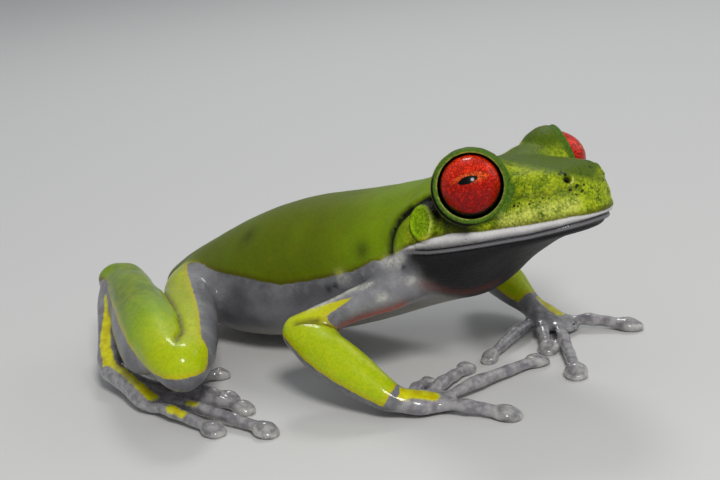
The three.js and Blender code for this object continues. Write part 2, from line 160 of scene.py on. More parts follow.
def addLight():
    world = bpy.data.worlds.new("studio")
    scene.world = world
    world.use_nodes = True
    setSockets(world.node_tree.nodes["Background"], studio["world"])
    for name, (turn, lift, far, size, power, colour) in studio["lamps"].items():
        data = bpy.data.lights.new(name, "AREA")
        data.shape = "DISK"
        data.size = size
        data.energy = power
        data.color = colour
        lamp = bpy.data.objects.new(name, data)
        scene.collection.objects.link(lamp)
        turn, lift = math.radians(turn), math.radians(lift)
        away = Vector((math.cos(lift) * math.cos(turn), math.cos(lift) * math.sin(turn), math.sin(lift)))
        lamp.location = away * far
        lamp.rotation_euler = away.to_track_quat("Z", "Y").to_euler()
    scene.view_settings.view_transform = "Standard"


addCamera()
addFloor()
addLight()
print("frog: camera, floor and light set")


def mode(name):
    bpy.ops.object.mode_set(mode=name)


def clearSelection():
    if bpy.context.object and bpy.context.object.mode != "OBJECT":
        mode("OBJECT")
    bpy.ops.object.select_all(action="DESELECT")


def pick(piece):
    clearSelection()
    piece.select_set(True)
    bpy.context.view_layer.objects.active = piece


def pointsOf(piece):
    points = np.empty(len(piece.data.vertices) * 3)
    piece.data.vertices.foreach_get("co", points)
    return points.reshape(-1, 3)


def setPoints(piece, points):
    piece.data.vertices.foreach_set("co", points.ravel())
    piece.data.update()


def normalsOf(piece):
    normals = np.empty(len(piece.data.vertices) * 3)
    piece.data.vertex_normals.foreach_get("vector", normals)
    return normals.reshape(-1, 3)


def edgesOf(piece):
    edges = np.empty(len(piece.data.edges) * 2, dtype=np.int64)
    piece.data.edges.foreach_get("vertices", edges)
    return edges.reshape(-1, 2)


def applyModifier(piece, kind, **values):
    pick(piece)
    modifier = piece.modifiers.new(kind.lower(), kind)
    for key, value in values.items():
        setattr(modifier, key, value)
    bpy.ops.object.modifier_apply(modifier=modifier.name)


def relax(values, edges, weight, rounds):
    a, b = edges[:, 0], edges[:, 1]
    count = len(values)
    degree = np.maximum(np.bincount(a, minlength=count) + np.bincount(b, minlength=count), 1)
    values = values.copy()
    columns = values.reshape(count, -1)
    weight = np.broadcast_to(weight, count)
    for _ in range(rounds):
        for k in range(columns.shape[1]):
            column = columns[:, k]
            around = np.bincount(a, column[b], count) + np.bincount(b, column[a], count)
            columns[:, k] += weight * (around / degree - column)
    return values


def softMask(mask, edges, rounds):
    return relax(mask.astype(float), edges, 0.5, rounds)


def ramp(value, low, high):
    share = np.clip((value - low) / (high - low), 0, 1)
    return share * share * (3 - 2 * share)


# Faded in from start to full, and out from fading to end
def inside(value, start, full, fading, end):
    return ramp(value, start, full) * (1 - ramp(value, fading, end))


def bump(distance, width):
    return np.exp(-(distance / width) ** 2)


def line(value, knots):
    return np.interp(value, [k[0] for k in knots], [k[1] for k in knots])


def unit(vector):
    vector = np.array(vector, float)
    return vector / np.linalg.norm(vector)


# A smooth line through a few places, as closely spaced points
def smoothLine(path, steps=10):
    path = np.array(path, float)
    if len(path) == 1:
        return path
    ends = np.vstack([2 * path[0] - path[1], path, 2 * path[-1] - path[-2]])
    found = []
    for a, b, c, d in zip(ends[:-3], ends[1:-2], ends[2:-1], ends[3:]):
        for t in np.linspace(0, 1, steps, endpoint=False):
            found.append(0.5 * (2 * b + (c - a) * t + (2 * a - 5 * b + 4 * c - d) * t * t
                                + (3 * b - a - 3 * c + d) * t ** 3))
    return np.array(found + [path[-1]])


def distance(points, place):
    return np.linalg.norm(points - np.array(place), axis=1)


# How far each point is from a line, and which share of the way along it is nearest
def fromLine(points, way):
    best = np.full(len(points), np.inf)
    share = np.zeros(len(points))
    for k, place in enumerate(way):
        far = distance(points, place)
        closer = far < best
        best[closer] = far[closer]
        share[closer] = k / max(len(way) - 1, 1)
    return best, share


# One closed skin over all the flesh
skinMake = {
    "mergeWithin": 0.002,   # mm
    "seamReach": 0.45,      # gaps narrower than this are closed
    "seamOverlap": 0.22,
    "voxel": 0.26,
    "triangles": 196000,    # that the finished skin may have
}
# Rounds of smoothing that take each part's flats away
softness = {
    "torso": 190, "head": 60, "lower_jaw": 130, "tympanum": 4,
    "upper_arm": 90, "forearm": 80, "hand": 24, "finger": 8,
    "thigh": 170, "shank": 170, "tarsus": 60, "foot": 22, "toe": 8,
}
seamSoftness = {"reach": 1.6, "atTorso": 50, "elsewhere": 6}      # mm from the next part, and more rounds
fleshNodes = sorted(name for name in frame["nodes"] if not name.startswith("eye_"))


# Each eye's frame: towards the snout, up, and out along its axis. Sides are 1 for left, -1 for right.
eyeMake = {
    "spread": 7.6,          # mm from the head's middle
    "radius": 3.6,
    "forward": 53,          # degrees from straight ahead
    "up": 17,
    "cornea": 0.22,         # how far its front stands out
    "corneaWidth": 3.4,
}


def eyePlace(side):
    return np.array([0.0, side * eyeMake["spread"], 0.0])


def eyeRows(side):
    forward, up = math.radians(eyeMake["forward"]), math.radians(eyeMake["up"])
    out = np.array([math.cos(forward) * math.cos(up), side * math.sin(forward) * math.cos(up),
                    math.sin(up)])
    top = unit(np.array([0, 0, 1]) - out * out[2])
    return np.array([np.cross(out, top) * side, top, out])


# For each eye the points in its frame, how far they are from its middle and its axis, and their turn
def eyeViews(head):
    for side in (-1, 1):
        local = (head - eyePlace(side)) @ eyeRows(side).T
        across = np.hypot(local[:, 0], local[:, 1])
        turn = np.degrees(np.arctan2(across, local[:, 2]))
        yield side, local, np.linalg.norm(local, axis=1), across, turn


lid = {
    "edge": 4.03,           # mm from the eye's middle to the middle of the rounded edge
    "turn": 70,             # and in degrees from the eye's axis
    "thick": 0.25,
    "tuck": 0.35,           # how far the skin is drawn back round the eye
    "inside": 3.66,         # the wall behind the edge
    "reach": 5.2,           # how far from the eye's middle the skin is shaped
    "groove": 0.16,         # its depth, then how far it is from the edge, and its width
    "grooveAway": 0.62,
    "grooveWidth": 0.2,
}


def kindOf(name):
    return name if name == "lower_jaw" else name.split("_l")[0].split("_r")[0]


def sideOf(name):
    return "r" if "_r" in name else "l"


def fleshCopies():
    copies = []
    for name in fleshNodes:
        piece = bpy.data.objects.new("flesh_" + name, frame["nodes"][name].data.copy())
        piece.data.materials.clear()
        scene.collection.objects.link(piece)
        pick(piece)
        mode("EDIT")
        bpy.ops.mesh.select_all(action="SELECT")
        bpy.ops.mesh.remove_doubles(threshold=skinMake["mergeWithin"] * mm)
        mode("OBJECT")
        copies.append(piece)
    return copies


# The lids' round edges, as rings that melt into the skin
def lidRings():
    rings = []
    middle = math.radians(lid["turn"])
    for side in (-1, 1):
        out = eyeRows(side)[2]
        raised = lid["edge"] * math.cos(middle) + lid["tuck"]
        centre = fromHead(eyePlace(side) + out * raised)
        clearSelection()
        bpy.ops.mesh.primitive_torus_add(
            location=centre, rotation=Vector(out @ headRows).to_track_quat("Z", "Y").to_euler(),
            major_segments=80, minor_segments=14, major_radius=lid["edge"] * math.sin(middle) * mm,
            minor_radius=lid["thick"] * mm)
        bpy.ops.object.transform_apply(location=True, rotation=True, scale=True)
        rings.append(bpy.context.object)
    return rings


def treeOf(piece):
    data = piece.data
    return BVHTree.FromPolygons([v.co for v in data.vertices], [p.vertices for p in data.polygons])


# Points that face a neighbour across a thin gap are pushed into it, so that the flesh joins
def closeGaps(copies, trees):
    reach = skinMake["seamReach"] * mm
    boxes = [(pointsOf(piece).min(0) - reach, pointsOf(piece).max(0) + reach) for piece in copies]
    for i, piece in enumerate(copies):
        points = pointsOf(piece)
        moved = points.copy()
        nearest = np.full(len(points), reach)
        for j, tree in enumerate(trees):
            if i == j:
                continue
            low, high = boxes[j]
            inside = np.nonzero(np.all((points > low) & (points < high), axis=1))[0]
            for k in inside:
                spot, _, _, far = tree.find_nearest(Vector(points[k]), nearest[k])
                if spot is not None and far > 1e-7:
                    nearest[k] = far
                    away = (np.array(spot) - points[k]) / far
                    moved[k] = points[k] + away * (far + skinMake["seamOverlap"] * mm)
        setPoints(piece, moved)


def joined(copies, name):
    clearSelection()
    for piece in copies:
        piece.select_set(True)
    bpy.context.view_layer.objects.active = copies[0]
    bpy.ops.object.join()
    piece = bpy.context.object
    piece.name = piece.data.name = name
    return piece


def selectPoints(piece, chosen):
    pick(piece)
    mode("EDIT")
    bpy.ops.mesh.select_mode(type="VERT")
    bpy.ops.mesh.select_all(action="DESELECT")
    mode("OBJECT")
    piece.data.vertices.foreach_set("select", chosen)
    mode("EDIT")
    bpy.ops.mesh.select_mode(type="VERT")


def keepOuterShell(piece):
    points = pointsOf(piece)
    selectPoints(piece, np.arange(len(points)) == int(np.argmax(points[:, 2])))
    bpy.ops.mesh.select_linked()
    bpy.ops.mesh.select_all(action="INVERT")
    bpy.ops.mesh.delete(type="VERT")
    mode("OBJECT")


copies = fleshCopies()
trees = [treeOf(piece) for piece in copies]
closeGaps(copies, trees)
skin = joined(copies + lidRings(), "skin")
applyModifier(skin, "REMESH", mode="VOXEL", voxel_size=skinMake["voxel"] * mm, use_smooth_shade=True)
keepOuterShell(skin)
print("frog: skin remeshed,", len(skin.data.vertices), "points")


# Which part of the body each point of the skin belongs to
allFaces, allPoints, faceOwner = [], [], []
for index, name in enumerate(fleshNodes):
    node = frame["nodes"][name]
    start = len(allPoints)
    allPoints += [v.co.copy() for v in node.data.vertices]
    allFaces += [[start + k for k in p.vertices] for p in node.data.polygons]
    faceOwner += [index] * len(node.data.polygons)
fleshTree = BVHTree.FromPolygons(allPoints, allFaces)
faceOwner = np.array(faceOwner)


def ownersOf(points):
    return faceOwner[[fleshTree.find_nearest(Vector(p))[2] for p in points]]


def ownedBy(owners, *kinds):
    return np.isin(owners, [i for i, name in enumerate(fleshNodes) if kindOf(name) in kinds])


# Distance to the nearest part other than the point's own, as far as reach
def nextPartDistance(points, owners, reach):
    found = np.full(len(points), reach)
    for j, name in enumerate(fleshNodes):
        low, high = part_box(name)
        near = np.all((points > np.array(low) - reach) & (points < np.array(high) + reach), axis=1)
        for k in np.nonzero(near & (owners != j))[0]:
            far = trees[j].find_nearest(Vector(points[k]), found[k])[3]
            if far is not None:
                found[k] = far
    return found


def smoothSkin():
    points = pointsOf(skin)
    edges = edgesOf(skin)
    owners = ownersOf(points)
    rounds = np.array([softness[kindOf(name)] for name in fleshNodes], float)[owners]
    nextPart = nextPartDistance(points, owners, seamSoftness["reach"] * mm) / mm
    atTorso = ownedBy(owners, "torso", "upper_arm", "lower_jaw", "head")
    more = np.where(atTorso, seamSoftness["atTorso"], seamSoftness["elsewhere"])
    rounds += more * (1 - ramp(nextPart, 0.3, 1.5))
    for side in (-1, 1):
        rounds *= 1 - 0.93 * (1 - ramp(distance(toHead(points), eyePlace(side)), 4.7, 6.2))
    rounds = relax(rounds, edges, 0.5, 12)
    most = int(rounds.max())
    weight = 0.5 * rounds / most
    soft = relax(points, edges, weight, most)
    setPoints(skin, soft)
    normals = normalsOf(skin)
    lost = relax(((points - soft) * normals).sum(1), edges, weight, most)    # what smoothing shrank
    setPoints(skin, soft + normals * lost[:, None])


def tuckLids():
    head = toHead(pointsOf(skin))
    for side, local, far, _, _ in eyeViews(head):
        share = ramp(local[:, 2], -0.8, 1.6) * (1 - ramp(far, 4.5, 6.0))
        head = head - lid["tuck"] * share[:, None] * eyeRows(side)[2]
    setPoints(skin, fromHead(head))


smoothSkin()
tuckLids()
print("frog: skin smoothed")


# The head's own forms, in mm in the head's frame, for its left side and mirrored to the right
mouthLine = [(-8.5, -7.7), (-5, -7.2), (-1.5, -6.5), (3, -5.6), (6.5, -4.9), (9.2, -4.2), (10.4, -3.9),
             (11.1, -3.7), (11.7, -3.5)]
mouth = {
    "back": -7.3,                                    # where its corner fades out
    "forms": [(0, -0.30, 0.12), (0.8, 0.10, 0.45), (1.75, -0.08, 0.4), (-0.34, 0.07, 0.16),
              (-0.66, -0.10, 0.12), (-1.0, 0.03, 0.2)],    # height above the line, rise, width
}
nostril = {"place": (9.35, 3.1, 0.75), "depth": 0.55, "hole": 0.36, "rim": 0.68, "rimRise": 0.12}
ear = {"place": (-6.0, 9.15, -4.25), "aim": (-0.16, 1, 0.2), "radius": 1.95, "rimRise": 0.16,
       "groove": 0.24}
earFold = [(-5.8, 7.6, -1.9), (-7.0, 7.7, -2.5), (-8.2, 7.8, -3.1), (-9.4, 7.9, -4.0), (-10.2, 8.3, -4.9),
           (-10.6, 9.0, -6.5), (-10.6, 9.3, -8.1)]
earShadow = [(-5.5, 7.8, -2.0), (-4.7, 8.4, -2.7), (-3.6, 8.8, -3.3), (-2.3, 9.0, -3.9), (-1.2, 9.0, -4.2),
             (-0.1, 8.9, -4.4)]
faceBand = [(5.1, 6.4, -0.8), (6.8, 5.9, -0.7), (8.3, 5.0, -0.4), (9.5, 4.0, -0.3), (10.1, 3.3, -0.2)]
cheekHighlight = [(4.2, 7.7, -3.3), (5.9, 6.9, -2.8), (8.2, 5.7, -2.2), (9.5, 4.6, -2.0), (10.4, 3.4, -1.8)]
headForms = [    # a line on the skin, its rise and its width
    ([(3.9, 5.9, 1.6), (6.5, 4.3, 1.5), (9.2, 2.9, 1.0)], 0.16, 0.9),
    (faceBand, -0.26, 0.9),
    # the line of the cheek's painted highlight, raised a little
    (cheekHighlight, 0.14, 0.9),
    ([(-5.6, 7.1, -1.2), (-7.1, 7.1, -1.7), (-8.5, 7.3, -2.4), (-9.9, 7.5, -3.3), (-10.9, 7.9, -4.6),
      (-11.3, 8.4, -6.0), (-11.4, 8.9, -7.5)], 0.34, 0.6),
    (earFold, -0.42, 0.36),
    (earShadow, -0.26, 0.5),
    ([(-8.9, 8.8, -5.6), (-8.3, 9.2, -6.6), (-7.2, 9.4, -7.2)], -0.16, 0.22),
    ([(-9.7, 8.8, -6.2), (-9.0, 9.2, -7.3), (-7.8, 9.4, -7.9)], -0.14, 0.22),
    ([(-4.2, 9.3, -5.0), (-5.2, 9.4, -6.1), (-6.6, 9.4, -6.5)], -0.14, 0.24),
    ([(10.8, 1.95, -0.25)], -0.12, 0.4),
    ([(7.9, 2.7, 1.6)], 0.12, 0.8),
]
bodyForms = [    # as headForms, in mm in the body's frame, for the left side
    ([(-25.9, 6.3, 15.4)], -0.20, 1.5),
    ([(-7.1, 8.7, 15.8)], -0.16, 1.2),
    ([(-1.3, 8.7, 14.2)], 0.14, 0.4),
    ([(-13.1, 9, 10.3), (-11.6, 9, 11.1)], -0.14, 0.5),
    ([(-3.9, 8.9, 13.6), (-6.4, 8.9, 12.6), (-9.4, 9.0, 11.6)], -0.12, 0.4),
    ([(-16.5, 9.2, 8.6), (-21, 9.3, 7.6), (-26, 9.2, 7.9)], -0.12, 0.9),
    ([(-46.2, 11.6, 11.2)], -1.2, 1.5),
    ([(-46.0, 11.5, 11.3), (-44.0, 11.8, 11.7), (-40.8, 12.4, 11.9)], -0.42, 1.7),
    ([(-13.4, 18.0, 8.9)], -1.0, 2.0),
]


# From 0 at the top front of an eye to 1 at its low rear
def lowRear(local):
    across = np.maximum(np.hypot(local[:, 0], local[:, 1]), 0.1)
    return 0.5 - 0.35 * (local[:, 0] + local[:, 1]) / across


# Where the skin gets finer points
fineZones = {
    "lidFar": (3.3, 4.8),       # mm from an eye's middle
    "lidTurn": (54, 86),        # degrees from its axis
    "mouth": (-0.85, 0.35),     # mm above the mouth's line
    "nostril": 1.1,             # mm from its middle
    "ear": 2.5,
}


def between(values, limits):
    return (values > limits[0]) & (values < limits[1])


def detailZone(head, owners):
    chosen = np.zeros(len(head), bool)
    for _, _, far, _, turn in eyeViews(head):
        chosen |= between(far, fineZones["lidFar"]) & between(turn, fineZones["lidTurn"])
    face = toLeft(head)
    onHead = ownedBy(owners, "head", "lower_jaw", "tympanum") & (face[:, 0] > mouth["back"] - 0.6)
    chosen |= onHead & between(face[:, 2] - line(face[:, 0], mouthLine), fineZones["mouth"])
    for key, plan in (("nostril", nostril), ("ear", ear)):
        chosen |= distance(face, plan["place"]) < fineZones[key]
    return chosen


def addDetail():
    points = pointsOf(skin)
    chosen = detailZone(toHead(points), ownersOf(points))
    selectPoints(skin, chosen)
    bpy.ops.mesh.subdivide(number_cuts=2)
    mode("OBJECT")
    points = pointsOf(skin)
    edges = edgesOf(skin)
    fresh = softMask(detailZone(toHead(points), ownersOf(points)), edges, 3)
    setPoints(skin, relax(points, edges, 0.5 * fresh, 8))


addDetail()
print("frog: detail added,", len(skin.data.vertices), "points")


# A line laid on the skin
def onSkin(tree, way, fromLocal, toLocal):
    return toLocal(np.array([tree.find_nearest(Vector(place))[0] for place in fromLocal(way)]))


def push(amount):
    setPoints(skin, pointsOf(skin) + normalsOf(skin) * amount[:, None] * mm)


# For each side, the points near a line laid on the skin, how far they are from it and where along it
def laidLines(points, tree, way, width, toLocal, fromLocal):
    for side in (1, -1):
        path = onSkin(tree, smoothLine(way) * (1, side, 1), fromLocal, toLocal)
        low, high = path.min(0) - 3 * width, path.max(0) + 3 * width
        near = np.nonzero(np.all((points > low) & (points < high), axis=1))[0]
        yield (near, *fromLine(points[near], path))


def raiseForms(forms, toLocal, fromLocal):
    points = toLocal(pointsOf(skin))
    tree = treeOf(skin)
    amount = np.zeros(len(points))
    for way, rise, width in forms:
        for near, far, share in laidLines(points, tree, way, width, toLocal, fromLocal):
            fade = 0.35 + 0.65 * np.sin(np.pi * np.clip(share, 0.08, 0.92))     # lower at its ends
            amount[near] += rise * bump(far, width) * fade
    push(amount)


# The eardrums: a flat round skin in a raised rim, with a groove round it
def shapeEars():
    head = toHead(pointsOf(skin))
    size = ear["radius"]
    for side in (1, -1):
        aim = unit(ear["aim"]) * (1, side, 1)
        offset = head - np.array(ear["place"]) * (1, side, 1)
        height = offset @ aim
        flat = offset - np.outer(height, aim)
        across = np.linalg.norm(flat, axis=1)
        turn = np.arctan2(flat[:, 2], flat[:, 0])
        near = (np.abs(height) < 1.6) & (across < size + 1.2)
        form = ear["rimRise"] * bump(across - 0.86 * size, 0.2)
        form -= ear["groove"] * bump(across - size - 0.25, 0.22)
        form += 0.05 * bump(across, 0.5) + 0.03 * np.sin(13 * turn) * bump(across - 0.6 * size, 0.35)
        share = np.where(near, 1 - ramp(across, size - 0.1, size + 0.75), 0)
        wanted = share * (form - height) + (1 - share) * np.where(near, form, 0)
        head = head + wanted[:, None] * aim
    setPoints(skin, fromHead(head))


def shapeNostrils():
    tree = treeOf(skin)
    head = toHead(pointsOf(skin))
    amount = np.zeros(len(head))
    found = []
    for side in (1, -1):
        near = fromHead(np.array(nostril["place"]) * (1, side, 1))
        spot, aim, _, _ = tree.find_nearest(Vector(near))
        place = toHead(np.array(spot))
        far = distance(head, place)
        amount += nostril["rimRise"] * bump(far - nostril["rim"], 0.22)
        amount -= nostril["depth"] * np.exp(-(far / nostril["hole"]) ** 4)
        found.append((place, headRows @ np.array(aim)))
    push(amount)
    return found


def shapeMouth():
    points = pointsOf(skin)
    head = toHead(points)
    onHead = ownedBy(ownersOf(points), "head", "lower_jaw")
    above = head[:, 2] - line(head[:, 0], mouthLine)
    fade = ramp(head[:, 0], mouth["back"] - 0.6, mouth["back"] + 1.4) * onHead
    amount = sum(rise * bump(above - height, width) for height, rise, width in mouth["forms"])
    push(amount * fade)


def pastLid(far, turn):     # mm outwards from the lid's edge, round the eye
    return np.radians(turn - lid["turn"]) * far


def inGroove(far, turn):
    return bump(pastLid(far, turn) - lid["grooveAway"], lid["grooveWidth"])


# The lids' round edge, the wall behind it and the groove round it
def shapeLids():
    head = toHead(pointsOf(skin))
    middle = math.radians(lid["turn"])
    edgeAcross, edgeOut = lid["edge"] * math.sin(middle), lid["edge"] * math.cos(middle)
    for side, local, far, across, turn in eyeViews(head):
        near = (far < lid["reach"]) & (local[:, 2] > -1.5)
        inner = near & (far < lid["edge"] - 0.05) & (turn > lid["turn"] + 2)
        fromEdge = np.maximum(np.hypot(across - edgeAcross, local[:, 2] - edgeOut), 0.01)
        share = np.where(near & ~inner, 1 - ramp(fromEdge, 0.4, 0.6), 0) * (lid["thick"] / fromEdge - 1)
        moved = local.copy()
        moved[:, :2] *= (1 + share * (across - edgeAcross) / np.maximum(across, 0.1))[:, None]
        moved[:, 2] += share * (local[:, 2] - edgeOut)
        moved[inner] = local[inner] * (lid["inside"] / far[inner])[:, None]
        head = np.where(near[:, None], moved @ eyeRows(side) + eyePlace(side), head)
    setPoints(skin, fromHead(head))
    amount = np.zeros(len(head))
    for _, local, far, _, turn in eyeViews(head):
        outer = between(far, (lid["edge"] + 0.1, lid["reach"]))
        amount -= np.where(outer, lid["groove"] * lowRear(local) * inGroove(far, turn), 0)
    push(amount)


# Where the limbs' joints are, in mm in the body's frame and mirrored to y outwards
joints = {
    "r": {"shoulder": (-2.1, 8.0, 12.0), "elbow": (-11.7, 17.0, 8.4), "wrist": (1.0, 17.7, 2.2),
          "palm": (3.4, 15.6, 1.35), "hip": (-37.3, 5.8, 7.6), "knee": (-19.5, 27.6, 7.6),
          "heel": (-45.3, 10.2, 9.6), "instep": (-36.1, 22.7, 2.5), "sole": (-28.2, 24.7, 1.35)},
    "l": {"shoulder": (-2.1, 8.0, 12.0), "elbow": (-10.5, 18.6, 8.2), "wrist": (1.4, 12.8, 3.2),
          "palm": (4.0, 12.6, 1.5), "hip": (-37.3, 5.8, 7.6), "knee": (-21.5, 26.4, 7.2),
          "heel": (-45.4, 9.8, 6.3), "instep": (-38.2, 21.8, 2.4), "sole": (-31.0, 24.1, 1.35)},
}
kneeFold = 1.55
heelSplit = np.array((0.6, -0.4, 0))       # shank and tarsus end each side of the heel's middle


def limbLine(side, start, end):
    a, b = (np.array(joints[side][name]) for name in (start, end))
    if "knee" in (start, end):      # thigh and shank lie each side of the fold between them
        hip, knee, heel = (np.array(joints[side][name]) for name in ("hip", "knee", "heel"))
        outward, back = unit(knee - hip), unit(heel - knee)
        foldAway = unit(back - outward * (back @ outward))
        if end == "knee":
            b = b - foldAway * kneeFold
        else:
            a = a + foldAway * kneeFold
    if end == "heel":
        b = b + heelSplit
    if start == "heel":
        a = a - heelSplit
    return a, b


# How far along a limb, how many degrees round it from its top outwards, and how far from its line
def roundLimb(points, side, start, end):
    a, b = limbLine(side, start, end)
    along = unit(b - a)
    up = unit(np.array([0, 0, 1]) - along * along[2])
    out = np.cross(up, along)
    if out[1] < 0:
        out = -out
    offset = points - a
    share = offset @ along / np.linalg.norm(b - a)
    offset = offset - np.outer(offset @ along, along)
    return share, np.degrees(np.arctan2(offset @ out, offset @ up)), np.linalg.norm(offset, axis=1)


def toSegment(points, a, b):
    a, b = np.array(a, float), np.array(b, float)
    share = np.clip((points - a) @ (b - a) / ((b - a) @ (b - a)), 0, 1)
    return np.linalg.norm(points - a - np.outer(share, b - a), axis=1)


# Where the right shank and tarsus are pressed out by each other, in degrees round them and mm
pressed = [
    {"part": "shank", "line": ("knee", "heel"), "shares": (0.05, 0.26, 0.55, 0.9),
     "turn": 134, "reach": 38, "rise": 1.5},
    {"part": "tarsus", "line": ("heel", "instep"), "shares": (0.08, 0.3, 0.8, 1.0),
     "turn": -66, "reach": 42, "rise": 0.9},
    {"part": "tarsus", "line": ("heel", "instep"), "shares": (0.05, 0.3, 0.85, 1.05),
     "turn": 92, "reach": 48, "rise": 0.42},
]


def pressLegs():
    points = pointsOf(skin)
    body = toBody(points) * (1, -1, 1)
    owners = ownersOf(points)
    amount = np.zeros(len(points))
    for plan in pressed:
        mine = ownedBy(owners, plan["part"]) & (body[:, 1] > 0)
        share, turn, _ = roundLimb(body, "r", *plan["line"])
        pressure = plan["rise"] * inside(share, *plan["shares"]) * bump(turn - plan["turn"], plan["reach"])
        amount += np.where(mine, pressure, 0)
    push(relax(amount, edgesOf(skin), 0.5, 3))


# Creases where a limb is folded on itself, by its two parts; the way's end curls off at the joint
creases = {
    ("thigh", "shank"): {
        "joint": "knee", "ends": ("hip", "heel"), "depth": 0.6, "width": 0.36, "from": 4.2,
        "way": [(-4.6, -5.4, 2.2), (-2.4, -3.2, 2.0), (-1.3, -1.4, 2.3), (0.2, 0.9, 2.3)]},
    ("upper_arm", "forearm"): {
        "joint": "elbow", "ends": ("shoulder", "wrist"), "depth": 0.4, "width": 0.32, "from": 1.4,
        "way": [(1.0, 0.7, 1.4), (2.4, -0.3, 1.4), (3.6, -1.1, 1.2)]},
}


# How near each point is to such a crease, from 0 to 1
def inCrease(points, owners, tree, kinds):
    plan = creases[kinds]
    found = np.zeros(len(points))
    body = toBody(points)
    for side, mirror in (("r", (1, -1, 1)), ("l", (1, 1, 1))):
        first, second = (fleshNodes.index(kind + "_" + side) for kind in kinds)
        joint, endA, endB = (np.array(joints[side][name]) for name in (plan["joint"],) + plan["ends"])
        inward = unit(unit(endA - joint) + unit(endB - joint))
        deep = (body * mirror - joint) @ inward
        apart = np.full(len(points), 9.0)
        for k in np.nonzero((owners == first) | (owners == second))[0]:
            place = Vector(points[k])
            far = [trees[j].find_nearest(place, 4 * mm)[3] for j in (first, second)]
            if None not in far:
                apart[k] = abs(far[0] - far[1]) / mm
        deepEnough = ramp(deep, plan["from"] - 0.6, plan["from"] + 0.6)
        found = np.maximum(found, deepEnough * bump(apart, plan["width"]))
        way = np.array(plan["way"]) + joint
        start = (apart < 0.3) & (np.abs(deep - plan["way"][0] @ inward) < 0.4)
        start = (body * mirror)[start & (body[:, 2] > body[start, 2].max() - 0.5)].mean(0)
        way += np.outer(np.linspace(1, 0, len(way)), start - way[0])
        way = onSkin(tree, smoothLine(way) * mirror, fromBody, toBody)
        near = np.nonzero(distance(body, way.mean(0)) < 6)[0]
        far, share = fromLine(body[near], way)
        fade = np.clip(4 * (1 - share), 0.25, 1)
        found[near] = np.maximum(found[near], fade * bump(far, plan["width"]))
    return found


def shapeCreases():
    points = pointsOf(skin)
    owners = ownersOf(points)
    tree = treeOf(skin)
    amount = np.zeros(len(points))
    for kinds, plan in creases.items():
        amount -= plan["depth"] * inCrease(points, owners, tree, kinds)
    push(relax(amount, edgesOf(skin), 0.5, 1))


raiseForms(headForms, toHead, fromHead)
shapeEars()
nostrils = shapeNostrils()
shapeMouth()
shapeLids()
raiseForms(bodyForms, toBody, fromBody)
pressLegs()
shapeCreases()
print("frog: head and folds shaped")


# Fingers and toes: joints, and round discs with a slight groove round each
digitMake = {
    "swell": 0.06,
    "joints": (0.36, 0.66), "jointRise": 0.08, "jointWidth": 0.55,
    "hollow": 0.05, "dome": 0.10, "rim": 0.06,
    "discs": {"finger": (1.1, 1.25, 1.45, 1.5), "toe": (1.05, 1.15, 1.3, 1.45, 1.4)},
}


# Root, tip and disc size of each finger and toe, from its solid
def digitPlans():
    plans = {}
    for name in fleshNodes:
        kind = kindOf(name)
        if kind not in digitMake["discs"]:
            continue
        points = toBody(pointsOf(frame["nodes"][name]))
        size = digitMake["discs"][kind][int(name[-1]) - 1]
        palm = nodeMiddle(("hand_" if kind == "finger" else "foot_") + sideOf(name))
        palm = toBody(np.array(palm))
        far = distance(points[:, :2], palm[:2])
        end = points[np.argsort(far)[-6:]].mean(0)
        root = points[np.argsort(far)[:6]].mean(0)
        along = unit((end - root) * np.array([1, 1, 0]))
        tip = end - along * size * 0.95
        plans[name] = (root, tip, size)
    return plans


digits = digitPlans()


def shapeDigits():
    points = pointsOf(skin)
    body = toBody(points)
    owners = ownersOf(points)
    normals = normalsOf(skin)
    amount = digitMake["swell"] * ownedBy(owners, "finger", "toe")
    lift = np.zeros(len(body))
    for name, (root, tip, size) in digits.items():
        mine = np.nonzero(owners == fleshNodes.index(name))[0]
        offset = (body[mine] - root)[:, :2]
        length = np.linalg.norm((tip - root)[:2])
        along = (tip - root)[:2] / length
        share = offset @ along / length
        for joint in digitMake["joints"]:
            amount[mine] += digitMake["jointRise"] * bump((share - joint) * length, digitMake["jointWidth"])
        across = distance(body[mine, :2], tip[:2]) / size
        top = ramp(normals[mine, 2], 0.0, 0.6)
        lift[mine] += top * (digitMake["dome"] * np.clip(1 - (across / 0.8) ** 2, 0, 1)
                             + digitMake["rim"] * bump(across - 0.8, 0.16)
                             - digitMake["hollow"] * bump(across - 0.62, 0.12))
    edges = edgesOf(skin)
    amount = relax(amount, edges, 0.5, 4)
    moved = points + normals * amount[:, None] * mm
    moved[:, 2] += relax(lift, edges, 0.5, 1) * mm
    setPoints(skin, moved)


# Slight unevenness of living skin, less on the small parts, and no point under the floor
unevenness = [(6.5, 0.10), (2.4, 0.045)]    # size and rise in mm
evenParts = {("finger", "toe"): 0.15, ("hand", "foot", "tarsus"): 0.5}
lowest = 0.01       # mm above the floor


def roughen():
    points = pointsOf(skin)
    body = toBody(points)
    owners = ownersOf(points)
    share = np.ones(len(body))
    for kinds, value in evenParts.items():
        share[ownedBy(owners, *kinds)] = value
    for side in (-1, 1):
        share *= ramp(distance(toHead(points), eyePlace(side)), 4.2, 5.6)
    share = relax(share, edgesOf(skin), 0.5, 6)
    amount = np.zeros(len(body))
    for size, rise in unevenness:
        amount += rise * np.array([noise.noise(Vector(p) / size) for p in body])
    push(amount * share)
    points = pointsOf(skin)
    points[:, 2] = np.maximum(points[:, 2], lowest * mm)
    setPoints(skin, points)


shapeDigits()
roughen()
print("frog: digits and skin finished")


# Fewer triangles where the skin is plain, all of them kept where it is fine
calmParts = {("tarsus", "forearm"): 0.55, ("finger", "toe", "hand", "foot", "head", "tympanum"): 0.35}
calmElsewhere = 0.66
calmLevels = 20


